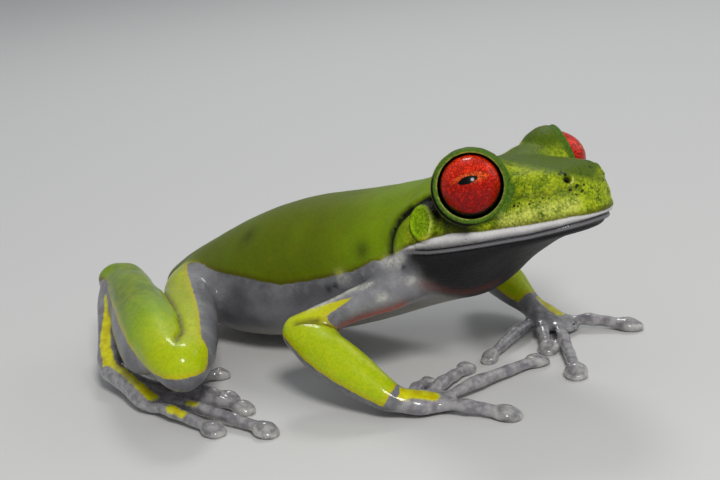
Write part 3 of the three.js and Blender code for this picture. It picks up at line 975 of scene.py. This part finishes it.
def thinOut():
    points = pointsOf(skin)
    owners = ownersOf(points)
    head = toHead(points)
    fine = softMask(detailZone(head, owners), edgesOf(skin), 2)
    calm = np.full(len(points), calmElsewhere)
    for kinds, value in calmParts.items():
        calm[ownedBy(owners, *kinds)] = value
    calm = relax(calm, edgesOf(skin), 0.5, 4) * (1 - np.clip(1.6 * fine, 0, 1))
    for _, _, far, _, turn in eyeViews(head):
        calm[(far < 3.9) & (turn > 80)] = 0.95      # behind the eye, where nothing shows
    group = skin.vertex_groups.new(name="calm")
    for level in range(calmLevels + 1):
        chosen = np.nonzero(np.round(calm * calmLevels) == level)[0]
        group.add([int(k) for k in chosen], level / calmLevels, "REPLACE")
    triangles = sum(len(p.vertices) - 2 for p in skin.data.polygons)
    applyModifier(skin, "DECIMATE", ratio=min(1.0, skinMake["triangles"] / triangles),
                  vertex_group="calm", vertex_group_factor=1.0, use_collapse_triangulate=True)
    skin.vertex_groups.clear()
    print("frog: skin thinned from", triangles, "to", len(skin.data.polygons), "triangles")


thinOut()


# Where the colours end, in mm: inside is above zero
borders = {
    "flank": [(-46, 6.5), (-40, 8), (-34.8, 10.7), (-32.9, 10.8), (-25.8, 11), (-19.5, 10.6), (-14.9, 11.5),
              (-8.9, 13.1), (-4.5, 14.7), (-1.8, 15.7), (-0.1, 16.6)],
    "lipTop": [(-10, -8), (-7.4, -6.9), (-4.4, -5.75), (-1.7, -4.95), (1.7, -4.6), (4.9, -4), (7.8, -3.5),
               (10.4, -3.0), (13, -3.0)],
    "lipUnder": 0.42,
    "shank": [(-0.07, -1.2), (0.02, -0.75), (0.25, 0.7), (0.57, 0.75), (1, -0.7)],
    "tarsusStripe": [(0, -4), (0.38, 0), (0.5, 8), (0.64, 24), (0.79, 30), (0.95, 8)],
    "footStripe": [(0.2, 8), (0.68, 26), (1.22, 48)],
    "thighFront": [(0, 2), (0.28, -6), (0.65, -21), (0.9, -24)],
    "thighRear": 100,
    "forearmHalf": 92,
    "forearmTurn": 10,
    "upperArmTurn": [(0.2, 50), (0.47, 43), (0.89, 35), (1, 30)],
    "upperArmHalf": [(0.2, -14), (0.36, -3), (0.47, 3), (0.57, 14), (0.75, 26), (0.92, 50), (1, 75)],
    "armpit": {"turn": 137, "width": 17, "shares": (0, 0.12, 0.62, 0.82)},
    "stripeHalf": {"tarsus": 0.78, "foot": 0.5, "hand": 0.95},
    "toePatches": [(0.5, (6.1, 3.2, 0.5), (8.4, 3.7, 0.3)), (0.34, (6.9, 1.2, 0.4), (8.5, 1.2, 0.4))],
    "handStripe": [(0.4, (0.1, 0.8, 1.0)), (1.45, (0.3, 0.6, 1.1))],    # share from wrist to palm, and mm
    "ends": {"forearm": (1.03, 14), "tarsus": (0.06, 14), "footStripe": (1.3, 4)},  # share, and length
    "tarsusStripeStart": (0.3, 8),
    "lipBack": (-9.4, 0.6),     # where it ends on the head, and how steeply
    "most": 3.0,        # how far inside or outside still counts
}
# Single marks, in mm for the left side and mirrored: a line or a place, its width and its strength
spots = {
    # dark on the body: painted shadow in the back's hollow and dimple and in the folds by the arm; the
    # shoulder's wart is dark itself
    "bodyShadowsAndWart": [([(-7.1, 8.7, 15.8)], 1.1, 0.55), ([(-1.1, 9.0, 14.2)], 0.36, 1.4),
                 ([(-25.9, 6.3, 15.4)], 1.4, 0.45), ([(-12.2, 9, 10.6)], 0.6, 0.9),
                 ([(-11.2, 9, 11.2)], 0.4, 0.9)],
    # whitish patches on shoulder and flank, then painted highlights along the arm
    "bodyPaleAndHighlights": [([(-2.1, 8.8, 15.3)], 0.8, 1.0), ([(-3.4, 9.0, 14.8)], 0.6, 0.9),
                 ([(-0.2, 9.4, 13.0)], 0.6, 0.6), ([(-10.2, 9.0, 12.4)], 0.8, 0.8),
                 ([(-2.8, 11.6, 11.5)], 0.5, 0.9),
                 # painted highlight along the upper arm's top edge
                 ([(-10, 15.5, 10.8), (-8.4, 14.1, 11.4), (-6.7, 12.3, 12.2), (-4.6, 11.5, 12.8)], 0.5, 1),
                 # painted highlight along the forearm's top
                 ([(-5.3, 17, 8.2), (-3.1, 17.5, 7), (-1.2, 17.3, 5.7), (0.8, 17, 4.1)], 0.4, 0.45)],
    "bodyWarm": [([(0.9, 8.4, 12.2), (4, 5, 10.8), (6.6, 1.8, 10.0)], 0.8, 0.2)],
    # painted shadows between the eye and the eardrum and in the fold over the eardrum, and the darker band
    # from eye to nostril
    "headShadowsAndBand": [(earShadow, 0.75, 0.95), (earFold, 0.5, 1.2), (faceBand, 0.6, 0.35)],
    # a painted highlight along the cheek above the lip
    "headHighlight": [(cheekHighlight, 0.8, 0.75)],
    "headSpecks": [([(8.6, 3.2, 1.4), (9.7, 3.6, -0.1), (10.6, 1.8, -0.3)], 1.0, 1.2),
                   ([(9.7, 0.4, 1.4), (9.4, 1.6, 1.5)], 0.7, 1.0),
                   ([(5.4, 6.8, -1.6), (6.6, 6.2, -1.2), (8.2, 5.3, -1.0)], 0.7, 1.1),
                   ([(10.2, 3.8, -2.2), (10.3, 3.4, -1.2)], 0.6, 1.0), ([(11.3, 0.4, -1.5)], 0.5, 0.8)],
}
# What is painted apart, and the kinds of part that it takes in
painted = {
    "head": ("head", "tympanum"), "jaw": ("lower_jaw",), "torso": ("torso",), "upperArm": ("upper_arm",),
    "forearm": ("forearm",), "hand": ("hand", "finger"), "thigh": ("thigh",), "shank": ("shank",),
    "tarsus": ("tarsus",), "foot": ("foot", "toe"),
}
# How much of each mark these have; of yellow also how much more at the knee
shares = {
    "bright": {"upperArm": 1, "forearm": 1, "thigh": 1, "shank": 1},
    "pad": {"hand": 1, "foot": 1, "tarsus": 0.5},
    "wet": {"hand": 1, "foot": 1, "tarsus": 0.6, "upperArm": 0.6, "forearm": 0.4, "thigh": 0.4,
            "shank": 0.4, "torso": 0.07},
    # the lower jaw's underside painted near black: painted shadow over its whitish skin
    "throat": {"jaw": 1},
    "grain": {"torso": 0.22, "upperArm": 0.2, "forearm": 0.3, "thigh": 0.3, "shank": 0.3},
}
yellowShares = {"upperArm": (1, 0), "forearm": (0.55, 0), "thigh": (0.7, 0.3), "shank": (0.1, 0.5)}
fades = {       # from none to all
    "face": (-11.5, -6.5),              # mm along the head
    "crown": (0.7, 1.7),
    "backDeep": (-3, -16),              # mm along the body
    "kneeYellow": (9, 2),               # mm from the knee
    # painted shadow on thigh and shank, growing away from the lit knee
    "legShadeFromKnee": (5, 20),
    "belly": (-0.5, -0.95),             # by how far the skin faces up
    "lidGreen": (0.85, 0.45),           # mm past the lid's edge
}


# For one side's limbs, how far inside each border the points are
def fieldsOf(body, side):
    field = {}

    def inBand(around, middle, half):       # in mm, from a turn and a half width in degrees
        _, turn, far = around
        return (half - np.abs(turn - middle)) * np.radians(far)

    def endAt(name, share, value):
        end, length = borders["ends"][name]
        field[name] = np.minimum(value, (end - share) * length)

    forearm = roundLimb(body, side, "elbow", "wrist")
    endAt("forearm", forearm[0], inBand(forearm, borders["forearmTurn"], borders["forearmHalf"]))
    upperArm = share, turn, _ = roundLimb(body, side, "shoulder", "elbow")
    middle, half = line(share, borders["upperArmTurn"]), line(share, borders["upperArmHalf"])
    field["upperArm"] = inBand(upperArm, middle, half)
    armpit = borders["armpit"]
    field["armpit"] = bump(turn - armpit["turn"], armpit["width"]) * inside(share, *armpit["shares"])
    share, turn, far = roundLimb(body, side, "hip", "knee")
    front, rear = turn - line(share, borders["thighFront"]), borders["thighRear"] - turn
    field["thigh"] = np.minimum(front, rear) * np.radians(far)
    share = roundLimb(body, side, "knee", "heel")[0]
    knee, heel = limbLine(side, "knee", "heel")
    lineHeight = knee[2] + np.clip(share, 0, 1) * (heel[2] - knee[2])
    field["shank"] = body[:, 2] - lineHeight - line(share, borders["shank"])
    tarsus = roundLimb(body, side, "heel", "instep")
    endAt("tarsus", tarsus[0], body[:, 2] - heel[2] + 0.1)
    half = borders["stripeHalf"]
    stripe = half["tarsus"] + inBand(tarsus, line(tarsus[0], borders["tarsusStripe"]), 0)
    start, length = borders["tarsusStripeStart"]
    field["tarsusStripe"] = np.minimum(stripe, (tarsus[0] - start) * length)
    foot = roundLimb(body, side, "instep", "sole")
    endAt("footStripe", foot[0], half["foot"] + inBand(foot, line(foot[0], borders["footStripe"]), 0))
    wrist, palm, sole = (np.array(joints[side][name]) for name in ("wrist", "palm", "sole"))
    for width, start, end in borders["toePatches"]:
        patch = width - toSegment(body, sole + start, sole + end)
        field["footStripe"] = np.maximum(field["footStripe"], patch)
    a, b = (wrist + share * (palm - wrist) + offset for share, offset in borders["handStripe"])
    field["handStripe"] = half["hand"] - toSegment(body, a, b)
    return field


# Single marks laid on both sides, summed, or the strongest of them
def laidSpots(plans, points, tree, toLocal, fromLocal, together=np.add):
    total = np.zeros(len(points))
    for way, width, strength in plans:
        found = np.zeros(len(points))
        for near, far, _ in laidLines(points, tree, way, width, toLocal, fromLocal):
            found[near] = np.maximum(found[near], bump(far, width))
        total = together(total, strength * found)
    return total


def paint():
    points = pointsOf(skin)
    edges = edgesOf(skin)
    owners = ownersOf(points)
    tree = treeOf(skin)
    body, head = toBody(points), toHead(points)
    outer, face = toLeft(body), toLeft(head)
    rightSide = body[:, 1] < 0
    onHead, onBody = (head, tree, toHead, fromHead), (body, tree, toBody, fromBody)
    part = {}
    for key, kinds in painted.items():
        part[key] = np.clip(softMask(ownedBy(owners, *kinds), edges, 8), 0, 1)
    total = sum(part.values())
    faceSkin = part["head"] + part["jaw"]
    marks = {name: sum(much * part[key] for key, much in plan.items()) for name, plan in shares.items()}
    most = borders["most"]

    right, left = fieldsOf(outer, "r"), fieldsOf(outer, "l")
    field = {key: np.where(rightSide, right[key], left[key]) for key in right}
    flank = outer[:, 2] - line(outer[:, 0], borders["flank"])
    lipTop = line(face[:, 0], borders["lipTop"])
    mouthHeight = line(face[:, 0], mouthLine)
    grey = np.full(len(points), -2.0)       # parts with no green
    greens = dict(field, head=face[:, 2] - lipTop, torso=flank)
    greens = {key: np.clip(greens.get(key, grey), -most, most) for key in painted}
    marks["green"] = sum(part[key] * greens[key] for key in painted) / total
    headward = ramp(head[:, 0] - 4.5 * ramp(head[:, 2], -4, 0), *fades["face"])
    marks["face"] = faceSkin * headward
    marks["crown"] = ramp(head[:, 2] - 0.3 * face[:, 1] + 0.1 * np.abs(head[:, 0]), *fades["crown"])
    knee = np.where(rightSide[:, None], joints["r"]["knee"], joints["l"]["knee"])
    fromKnee = np.hypot(outer[:, 0] - knee[:, 0], outer[:, 1] - knee[:, 1])
    kneeward = ramp(fromKnee, *fades["kneeYellow"])
    marks["yellow"] = sum(part[key] * (much + more * kneeward)
                          for key, (much, more) in yellowShares.items())
    # darker along the back towards its rear, and on thigh and shank painted shadow away from the lit knee
    marks["deep"] = (part["torso"] * ramp(body[:, 0], *fades["backDeep"])
                     + (part["thigh"] + part["shank"]) * ramp(fromKnee, *fades["legShadeFromKnee"]))
    lipHere = np.minimum(lipTop - face[:, 2], face[:, 2] - mouthHeight + borders["lipUnder"])
    start, slope = borders["lipBack"]
    lipHere = np.minimum(lipHere, (face[:, 0] - start) * slope)
    marks["lip"] = np.where(faceSkin > 0.4, np.clip(lipHere, -most, most), -most)
    # the lip's painted light: 1 at its lit top edge, 0 at the mouth, where its grey is painted shadow
    marks["lipLightToShade"] = np.clip((face[:, 2] - mouthHeight) / np.maximum(lipTop - mouthHeight, 0.4), 0, 1)
    marks["stripe"] = np.full(len(points), -most)
    for key, least in (("tarsus", 0.4), ("foot", 0.3), ("hand", 0.3)):
        stripe = np.where(part[key] > least, np.clip(field[key + "Stripe"], -most, most), -most)
        marks["stripe"] = np.maximum(marks["stripe"], stripe)
    marks["warm"] = part["upperArm"] * field["armpit"] + laidSpots(spots["bodyWarm"], *onBody)
    marks["warm"] += 0.9 * bump(toSegment(outer, (-27, 22.2, 4.0), (-23.5, 24.5, 4.0)), 1.7) * part["shank"]
    marks["wet"] += 0.3 * faceSkin * (marks["lip"] > 0)
    marks["belly"] = part["torso"] * ramp(normalsOf(skin)[:, 2], *fades["belly"])
    marks["ragged"] = 0.16 + 0.5 * part["torso"] * bump(distance(outer, (-4, 8.8, 14.6)), 5.0)
    # painted shadow in the folds at knee and elbow
    marks["crease"] = sum(inCrease(points, owners, tree, each) for each in creases)

    # painted shadow in hollows, grooves and holes, with the skin's own dark marks; whitish marks with
    # painted highlights
    shadeAndDark = laidSpots(spots["headShadowsAndBand"], *onHead) + laidSpots(spots["bodyShadowsAndWart"], *onBody)
    paleAndHighlight = laidSpots(spots["headHighlight"], *onHead) + laidSpots(spots["bodyPaleAndHighlights"], *onBody)
    for place, aim in nostrils:
        offset = head - place
        offset -= np.outer(offset @ aim, aim)
        hole = np.linalg.norm(offset, axis=1) + 9 * (distance(head, place) > 1.6)
        # painted shadow in the nostril's hole
        shadeAndDark += np.exp(-(hole / 0.44) ** 4)
        paleAndHighlight += 1.2 * bump(hole - 0.62, 0.13) * ramp(offset[:, 0], 0.2, 0.6)
    inFace = (faceSkin > 0.4) & (face[:, 0] > mouth["back"])
    # the mouth's line: dark itself, and painted shadow in its groove
    shadeAndDark += np.where(inFace, 0.8 * bump(face[:, 2] - mouthHeight, 0.1), 0)
    aim = unit(ear["aim"])
    offset = face - np.array(ear["place"])
    outward = offset @ aim
    offset -= np.outer(outward, aim)
    across = np.linalg.norm(offset, axis=1) + 9 * (np.abs(outward) > 1.5)
    turn = np.arctan2(offset[:, 2], offset[:, 0])
    marks["bright"] += 0.9 * (1 - ramp(across, ear["radius"] - 0.1, ear["radius"] + 0.15))
    # painted shadow in the groove round the eardrum, strongest on one side
    shadeAndDark += 0.75 * bump(across - ear["radius"] - 0.25, 0.2) * (0.55 - 0.45 * np.cos(turn + 0.5))
    shadeAndDark += 0.3 * bump(np.sin(6.5 * turn), 0.3) * bump(across - 0.6 * ear["radius"], 0.5)
    paleAndHighlight += 0.8 * bump(across - 0.9 * ear["radius"], 0.14) * ramp(np.cos(turn), 0.1, 0.9)
    marks["lidGreen"] = np.zeros(len(points))
    for _, local, far, across, turn in eyeViews(head):
        close = (far < 4.9) & (local[:, 2] > -2)
        front = close & (turn < lid["turn"] + 4)
        outside = close & (far > 4.0)
        away = pastLid(far, turn)
        marks["lidGreen"] += np.where(close, ramp(away, *fades["lidGreen"]), 0)
        # black on the wall inside the lid and on the inner side of its edge: painted shadow in the gap
        # behind the lid, meeting the eye's own black ring
        shadeAndDark = np.where(close & ((far < 3.84) | (front & (across < 3.5))), 1.0, shadeAndDark)
        paleAndHighlight += np.where(front, 0.6 * bump(across - 3.6, 0.08), 0)
        # painted shadow in the groove round the lid, most at its low rear
        shadeAndDark += np.where(outside, (0.1 + 0.8 * lowRear(local)) * inGroove(far, turn), 0)
        # a painted shadow, a dark crescent outside the lid below and behind the eye
        rearward = -(0.8 * local[:, 0] + 0.6 * local[:, 1]) / np.maximum(across, 0.1)
        shadeAndDark += np.where(outside, 1.2 * ramp(rearward, 0.4, 0.85) * bump(away - 0.92, 0.4), 0)
    for name, (_, tip, size) in digits.items():
        mine = owners == fleshNodes.index(name)
        across = distance(body[mine, :2], tip[:2]) / size
        paleAndHighlight[mine] += 0.12 * (1 - ramp(across, 0.9, 1.2)) + 0.4 * bump(across - 0.95, 0.12)
        # a dark ring round each disc's middle: painted reflection
        shadeAndDark[mine] += 0.3 * bump(across - 0.68, 0.1)
    marks["shadeAndDark"] = np.clip(shadeAndDark, 0, 1)
    marks["paleAndHighlight"] = np.clip(paleAndHighlight, 0, 1)
    specks = laidSpots(spots["headSpecks"], *onHead, together=np.maximum)
    marks["speck"] = np.maximum(0.3 * part["head"] * headward, specks)
    faceGrain = 0.9 * part["head"] * (1 - 0.5 * marks["crown"]) + 0.6 * part["jaw"]
    marks["grain"] += faceGrain * headward + 0.3 * marks["belly"]
    marks["grain"] *= 1 - 0.85 * ramp(marks["lip"], -0.1, 0.15)
    for name, values in marks.items():
        layer = skin.data.attributes.new(name, "FLOAT", "POINT")
        layer.data.foreach_set("value", np.ascontiguousarray(values, dtype=np.float32))


paint()
print("frog: colour borders laid")


# What a material's nodes give, which can be added, multiplied and so on as numbers can
class NodeValue:
    def __init__(self, socket):
        self.socket = socket

    def __add__(self, other):
        return calc("ADD", self, other)

    def __sub__(self, other):
        return calc("SUBTRACT", self, other)

    def __rsub__(self, other):
        return calc("SUBTRACT", other, self)

    def __mul__(self, other):
        return calc("MULTIPLY", self, other)

    def __truediv__(self, other):
        return calc("DIVIDE", self, other)

    def __pow__(self, other):
        return calc("POWER", self, other)

    def __abs__(self):
        return calc("ABSOLUTE", self)


nodeTree = palette = None       # the nodes and the named colours of the material that is being made


def newMaterial(name, colours):
    global nodeTree, palette
    material = bpy.data.materials.new(name)
    material.use_nodes = True
    nodeTree, palette = material.node_tree, colours
    return material, nodeTree.nodes["Principled BSDF"]


# A socket takes what another node gives, a colour by its name, or a number
def feed(value, socket):
    if isinstance(value, NodeValue):
        nodeTree.links.new(value.socket, socket)
    else:
        socket.default_value = palette[value] if isinstance(value, str) else value


# What one output of a new node gives
def newNode(kind, output, inputs, **settings):
    node = nodeTree.nodes.new("ShaderNode" + kind)
    for name, value in settings.items():
        setattr(node, name, value)
    for name, value in inputs.items():
        feed(value, node.inputs[name])
    return NodeValue(node.outputs[output])


def calc(operation, *values):
    return newNode("Math", "Value", dict(enumerate(values)), operation=operation)


def clamped(value):       # the last sum or product, held between 0 and 1
    value.socket.node.use_clamp = True
    return value


def blend(share, first, second, how="MIX"):
    inputs = {0: share, 6: first, 7: second}        # 6, 7 and 2 are the mix node's colour sockets
    return newNode("Mix", 2, inputs, data_type="RGBA", blend_type=how, clamp_factor=True)


def mark(name, output="Fac"):
    return newNode("Attribute", output, {}, attribute_name=name)


def step(value, low, high):     # 0 below low, 1 above high, smooth between
    inputs = {"Value": value, "From Min": low, "From Max": high}
    return newNode("MapRange", "Result", inputs, interpolation_type="SMOOTHSTEP")


def noiseAt(place, scale, detail=2.0, rough=0.5):
    inputs = {"Vector": place, "Scale": scale, "Detail": detail, "Roughness": rough}
    return newNode("TexNoise", "Fac", inputs)


def cellsAt(place, scale):
    return newNode("TexVoronoi", "Distance", {"Vector": place, "Scale": scale})


skinColours = {
    "back": tint(118, 146, 4), "backDeep": tint(92, 108, 3), "backWarm": tint(116, 116, 8),
    "backEdge": tint(84, 76, 8), "crown": tint(80, 102, 3), "lidGreen": tint(78, 112, 22),
    "face": tint(176, 192, 28), "faceDeep": tint(86, 116, 10),
    "limb": tint(144, 184, 3), "limbDeep": tint(104, 132, 3), "limbYellow": tint(196, 204, 6),
    "limbEdge": tint(198, 184, 14),
    "flank": tint(132, 132, 136), "flankPale": tint(184, 184, 188), "flankDeep": tint(100, 100, 106),
    # near black for the lower jaw's underside: painted shadow over its whitish skin; the belly's own light
    # grey
    "throat": tint(36, 36, 39), "belly": tint(150, 147, 140), "pad": tint(164, 162, 163),
    # the light grey here, and the cream below, take whitish marks and painted highlights
    "padDeep": tint(122, 120, 125), "padPale": tint(214, 212, 202), "lip": tint(222, 220, 220),
    # the lip's grey is its white in painted shadow towards the mouth
    "lipShaded": tint(112, 110, 114), "stripe": tint(216, 214, 20), "warm": tint(176, 66, 22),
    # the reddish brown is painted shadow in the limbs' folds; the near black takes painted shadow and the
    # skin's own dark marks
    "cream": tint(228, 232, 118), "crease": tint(74, 46, 16), "dark": tint(10, 12, 9),
}
skinPattern = {     # how many to the mm; of specks also where a dot begins to fade and where it ends
    "broad": 0.22, "patches": 0.9, "fine": 5.0, "grains": 3.1, "smallGrains": 5.6, "uneven": 3.0,
    "specks": ((0.95, 0.16, 0.24), (1.7, 0.18, 0.3)),
}
skinFinish = {
    "roughness": 0.5, "wetRoughness": 0.25, "patchyRoughness": 0.2, "wetCoat": 0.9,
    "grainHeight": 0.08, "fineHeight": 0.02,        # mm
    "fixed": {"Coat Roughness": 0.1, "Specular IOR Level": 0.12},
}


def frogSkin():
    material, shader = newMaterial("frogSkin", skinColours)
    place = newNode("TexCoord", "Object", {})
    place = newNode("VectorMath", "Vector", {0: place, "Scale": 1 / mm}, operation="SCALE")     # now in mm
    broad = noiseAt(place, skinPattern["broad"], 3)
    patches = noiseAt(place, skinPattern["patches"], 3, 0.6)
    fine = noiseAt(place, skinPattern["fine"])
    grains = cellsAt(place, skinPattern["grains"])
    smallGrains = cellsAt(place, skinPattern["smallGrains"])
    patchy = patches - 0.5

    # the green's edge wanders a little, more over the shoulder
    wander = patches * 2.6 + fine * 0.8 - 1.7
    edge = wander * mark("ragged") + mark("green")
    isGreen = step(edge, -0.08, 0.08)

    # random tone, darker along the back's rear, with painted shadow on the legs away from the knee
    deep = clamped(broad - 0.5 + mark("deep"))
    green = blend(deep, "back", "backDeep")
    green = blend(step(patches, 0.45, 0.8) * 0.4, green, "backWarm")
    light = patches * 0.6 + fine * 0.4
    faceGreen = blend(step(light, 0.34, 0.62), "faceDeep", "face")
    faceGreen = blend(mark("crown"), faceGreen, "crown")
    green = blend(mark("face"), green, faceGreen)
    yellow = clamped(patchy * 0.8 + mark("yellow"))
    limbGreen = blend(yellow, blend(deep, "limb", "limbDeep"), "limbYellow")
    green = blend(mark("bright"), green, limbGreen)
    atEdge = 1 - step(edge, 0.1, 0.8)
    green = blend(atEdge * 0.75, green, blend(mark("bright"), "backEdge", "limbEdge"))
    green = blend(mark("lidGreen"), green, "lidGreen")

    grey = blend(step(broad, 0.3, 0.7), "flankDeep", "flank")
    nearGreen = step(edge, -2.2, -0.3) * mark("ragged") * step(patches, 0.35, 0.7)
    grey = blend(nearGreen, grey, "flankPale")
    # the lower jaw's underside painted near black as shadow, the belly in its own light grey
    for name in ("throat", "belly"):
        grey = blend(mark(name), grey, name)
    grey = blend(mark("pad"), grey, blend(step(patches, 0.35, 0.65), "padDeep", "pad"))
    colour = blend(isGreen, grey, green)

    # the lip white at its lit top edge, grey in painted shadow towards the mouth
    lip = blend(step(patchy * 0.3 + mark("lipLightToShade"), 0.08, 0.8), "lipShaded", "lip")
    lipEdge = (fine - 0.5) * 0.12 + mark("lip")
    colour = blend(step(lipEdge, -0.08, 0.1), colour, lip)
    stripe = blend(step(patches, 0.35, 0.6), "limbEdge", "stripe")
    colour = blend(step(wander * 0.2 + mark("stripe"), -0.16, 0.16), colour, stripe)
    colour = blend(mark("warm") * step(patches, 0.2, 0.5), colour, "warm")
    # whitish marks and painted highlights
    paleAndHighlight = mark("paleAndHighlight") * step(light, 0.3, 0.55)
    colour = blend(paleAndHighlight * 0.85, colour, blend(isGreen, "padPale", "cream"))
    dotty = calc("MAXIMUM", atEdge * isGreen * mark("bright") * 0.45, mark("speck"))
    uneven = noiseAt(place, skinPattern["uneven"], 3)
    for count, low, high in skinPattern["specks"]:
        apart = cellsAt(place, count) / calc("MAXIMUM", dotty, 0.05) + (uneven - 0.5) * 0.4
        colour = blend((1 - step(apart, low, high)) * 0.9, colour, "dark")
    # painted shadow in the crevices between the skin's granules
    colour = blend(step(grains, 0.35, 0.75) * mark("grain") * 0.4, colour, "backDeep", "MULTIPLY")
    # painted shadow in the limbs' folds, in reddish brown
    colour = blend(mark("crease") * 0.85, colour, "crease")
    # painted shadow in hollows, grooves, nostrils and round the eyes and eardrums, with the skin's own dark
    # marks
    feed(blend(mark("shadeAndDark"), colour, "dark"), shader.inputs["Base Color"])

    drier = skinFinish["wetRoughness"] - skinFinish["roughness"]
    rough = mark("wet") * drier + skinFinish["roughness"] + patchy * skinFinish["patchyRoughness"]
    feed(clamped(rough), shader.inputs["Roughness"])
    feed(clamped(mark("wet") * skinFinish["wetCoat"]), shader.inputs["Coat Weight"])
    setSockets(shader, skinFinish["fixed"])

    beads = 1 - grains * grains + (1 - smallGrains) * 0.4
    height = beads * mark("grain") * skinFinish["grainHeight"] + fine * skinFinish["fineHeight"]
    normal = newNode("Bump", "Normal", {"Height": height, "Strength": 1.0, "Distance": mm})
    feed(normal, shader.inputs["Normal"])
    return material


skin.data.materials.clear()
skin.data.materials.append(frogSkin())
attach(skin, "root")
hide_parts(*fleshNodes)
print("frog: skin painted")


# Eyes: each a ball whose front stands out a little, in a clear coat
eyeColours = {
    "iris": tint(250, 52, 14), "irisDeep": tint(170, 14, 8), "irisPale": tint(255, 116, 44),
    "vein": tint(86, 5, 4), "black": tint(4, 3, 4),
}
irisMake = {
    "edge": 3.17, "middle": 0.16,       # mm from the axis, and how far up its middle lies
    "pupilPlace": (-0.19, 0.41), "pupilTilt": 15.5, "pupilHalf": (1.14, 0.43),
    "pupilPower": (1.7, 1.9),           # how pointed it is along and across
    "veins": 1.3, "net": 2.4,
}
eyeFinish = {
    "Roughness": 0.35, "Coat Weight": 0.5, "Coat Roughness": 0.03, "Coat IOR": 1.34,
    "Specular IOR Level": 0.05,
}


def makeEye(side):
    middle = fromHead(eyePlace(side))
    rows = eyeRows(side) @ headRows          # the eye's frame in the world
    turn = Matrix([list(rows[0] * -side), list(rows[1]), list(rows[2])])
    clearSelection()
    bpy.ops.mesh.primitive_uv_sphere_add(segments=96, ring_count=64, radius=eyeMake["radius"] * mm)
    eye = bpy.context.object
    eye.name = eye.data.name = "eyeball_left" if side == 1 else "eyeball_right"
    selectPoints(eye, pointsOf(eye)[:, 2] > (eyeMake["radius"] - 0.002) * mm)      # the pole alone
    bpy.ops.transform.translate(
        value=(0, 0, eyeMake["cornea"] * mm), use_proportional_edit=True,
        proportional_edit_falloff="SMOOTH", proportional_size=eyeMake["corneaWidth"] * mm)
    mode("OBJECT")
    bpy.ops.object.shade_smooth()
    eye.matrix_world = Matrix.Translation(Vector(middle)) @ turn.transposed().to_4x4()
    bpy.ops.object.transform_apply(location=True, rotation=True, scale=True)
    spot = ((pointsOf(eye) - middle) @ rows.T) / mm
    attribute = eye.data.attributes.new("eyeSpot", "FLOAT_VECTOR", "POINT")
    attribute.data.foreach_set("vector", np.ascontiguousarray(spot, dtype=np.float32).ravel())
    eye.data.materials.append(eyeMaterial)
    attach(eye, "root")
    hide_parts("eye_l" if side == 1 else "eye_r")


def irisMaterial():
    material, shader = newMaterial("redEye", eyeColours)
    place = mark("eyeSpot", "Vector")
    ahead, up = (newNode("SeparateXYZ", axis, {"Vector": place}) for axis in "XY")
    raised = up - irisMake["middle"]
    across = calc("SQRT", ahead * ahead + raised * raised)

    tilt = math.radians(irisMake["pupilTilt"])
    x, y = ahead - irisMake["pupilPlace"][0], up - irisMake["pupilPlace"][1]
    along = x * math.cos(tilt) + y * math.sin(tilt)
    over = y * math.cos(tilt) - x * math.sin(tilt)
    pupil = [abs(value / half) ** power for value, half, power in
             zip((along, over), irisMake["pupilHalf"], irisMake["pupilPower"])]
    pupil = pupil[0] + pupil[1]

    # fine dark veins that run outwards from the pupil, and a net of them
    angle = calc("ARCTAN2", up, ahead)
    ray = {"X": calc("COSINE", angle) * 5.0, "Y": calc("SINE", angle) * 5.0, "Z": across * 1.1}
    ray = newNode("CombineXYZ", "Vector", ray)
    veins = noiseAt(ray, irisMake["veins"])
    net = noiseAt(place, irisMake["net"], rough=0.55)
    netLines = 1 - step(abs(net - 0.5), 0.01, 0.09)
    veinLines = 1 - step(abs(veins - 0.5), 0.0, 0.07)

    iris = blend(step(up * 0.3 + net, -0.1, 1.3), "irisDeep", "iris")
    bright = (1 - step(pupil, 1.1, 4.2)) * step(up, -0.2, 0.9)
    iris = blend(bright * 0.8, iris, "irisPale")
    iris = blend(calc("MAXIMUM", netLines * 0.75, veinLines * 0.7), iris, "vein")
    rim = step(net * 0.16 + across, irisMake["edge"] - 0.1, irisMake["edge"] + 0.14)
    iris = blend(rim, iris, "black")
    iris = blend(1 - step(pupil, 0.86, 1.04), iris, "black")
    feed(iris, shader.inputs["Base Color"])
    setSockets(shader, eyeFinish)
    return material


eyeMaterial = irisMaterial()
makeEye(1)
makeEye(-1)
print("frog: eyes made")
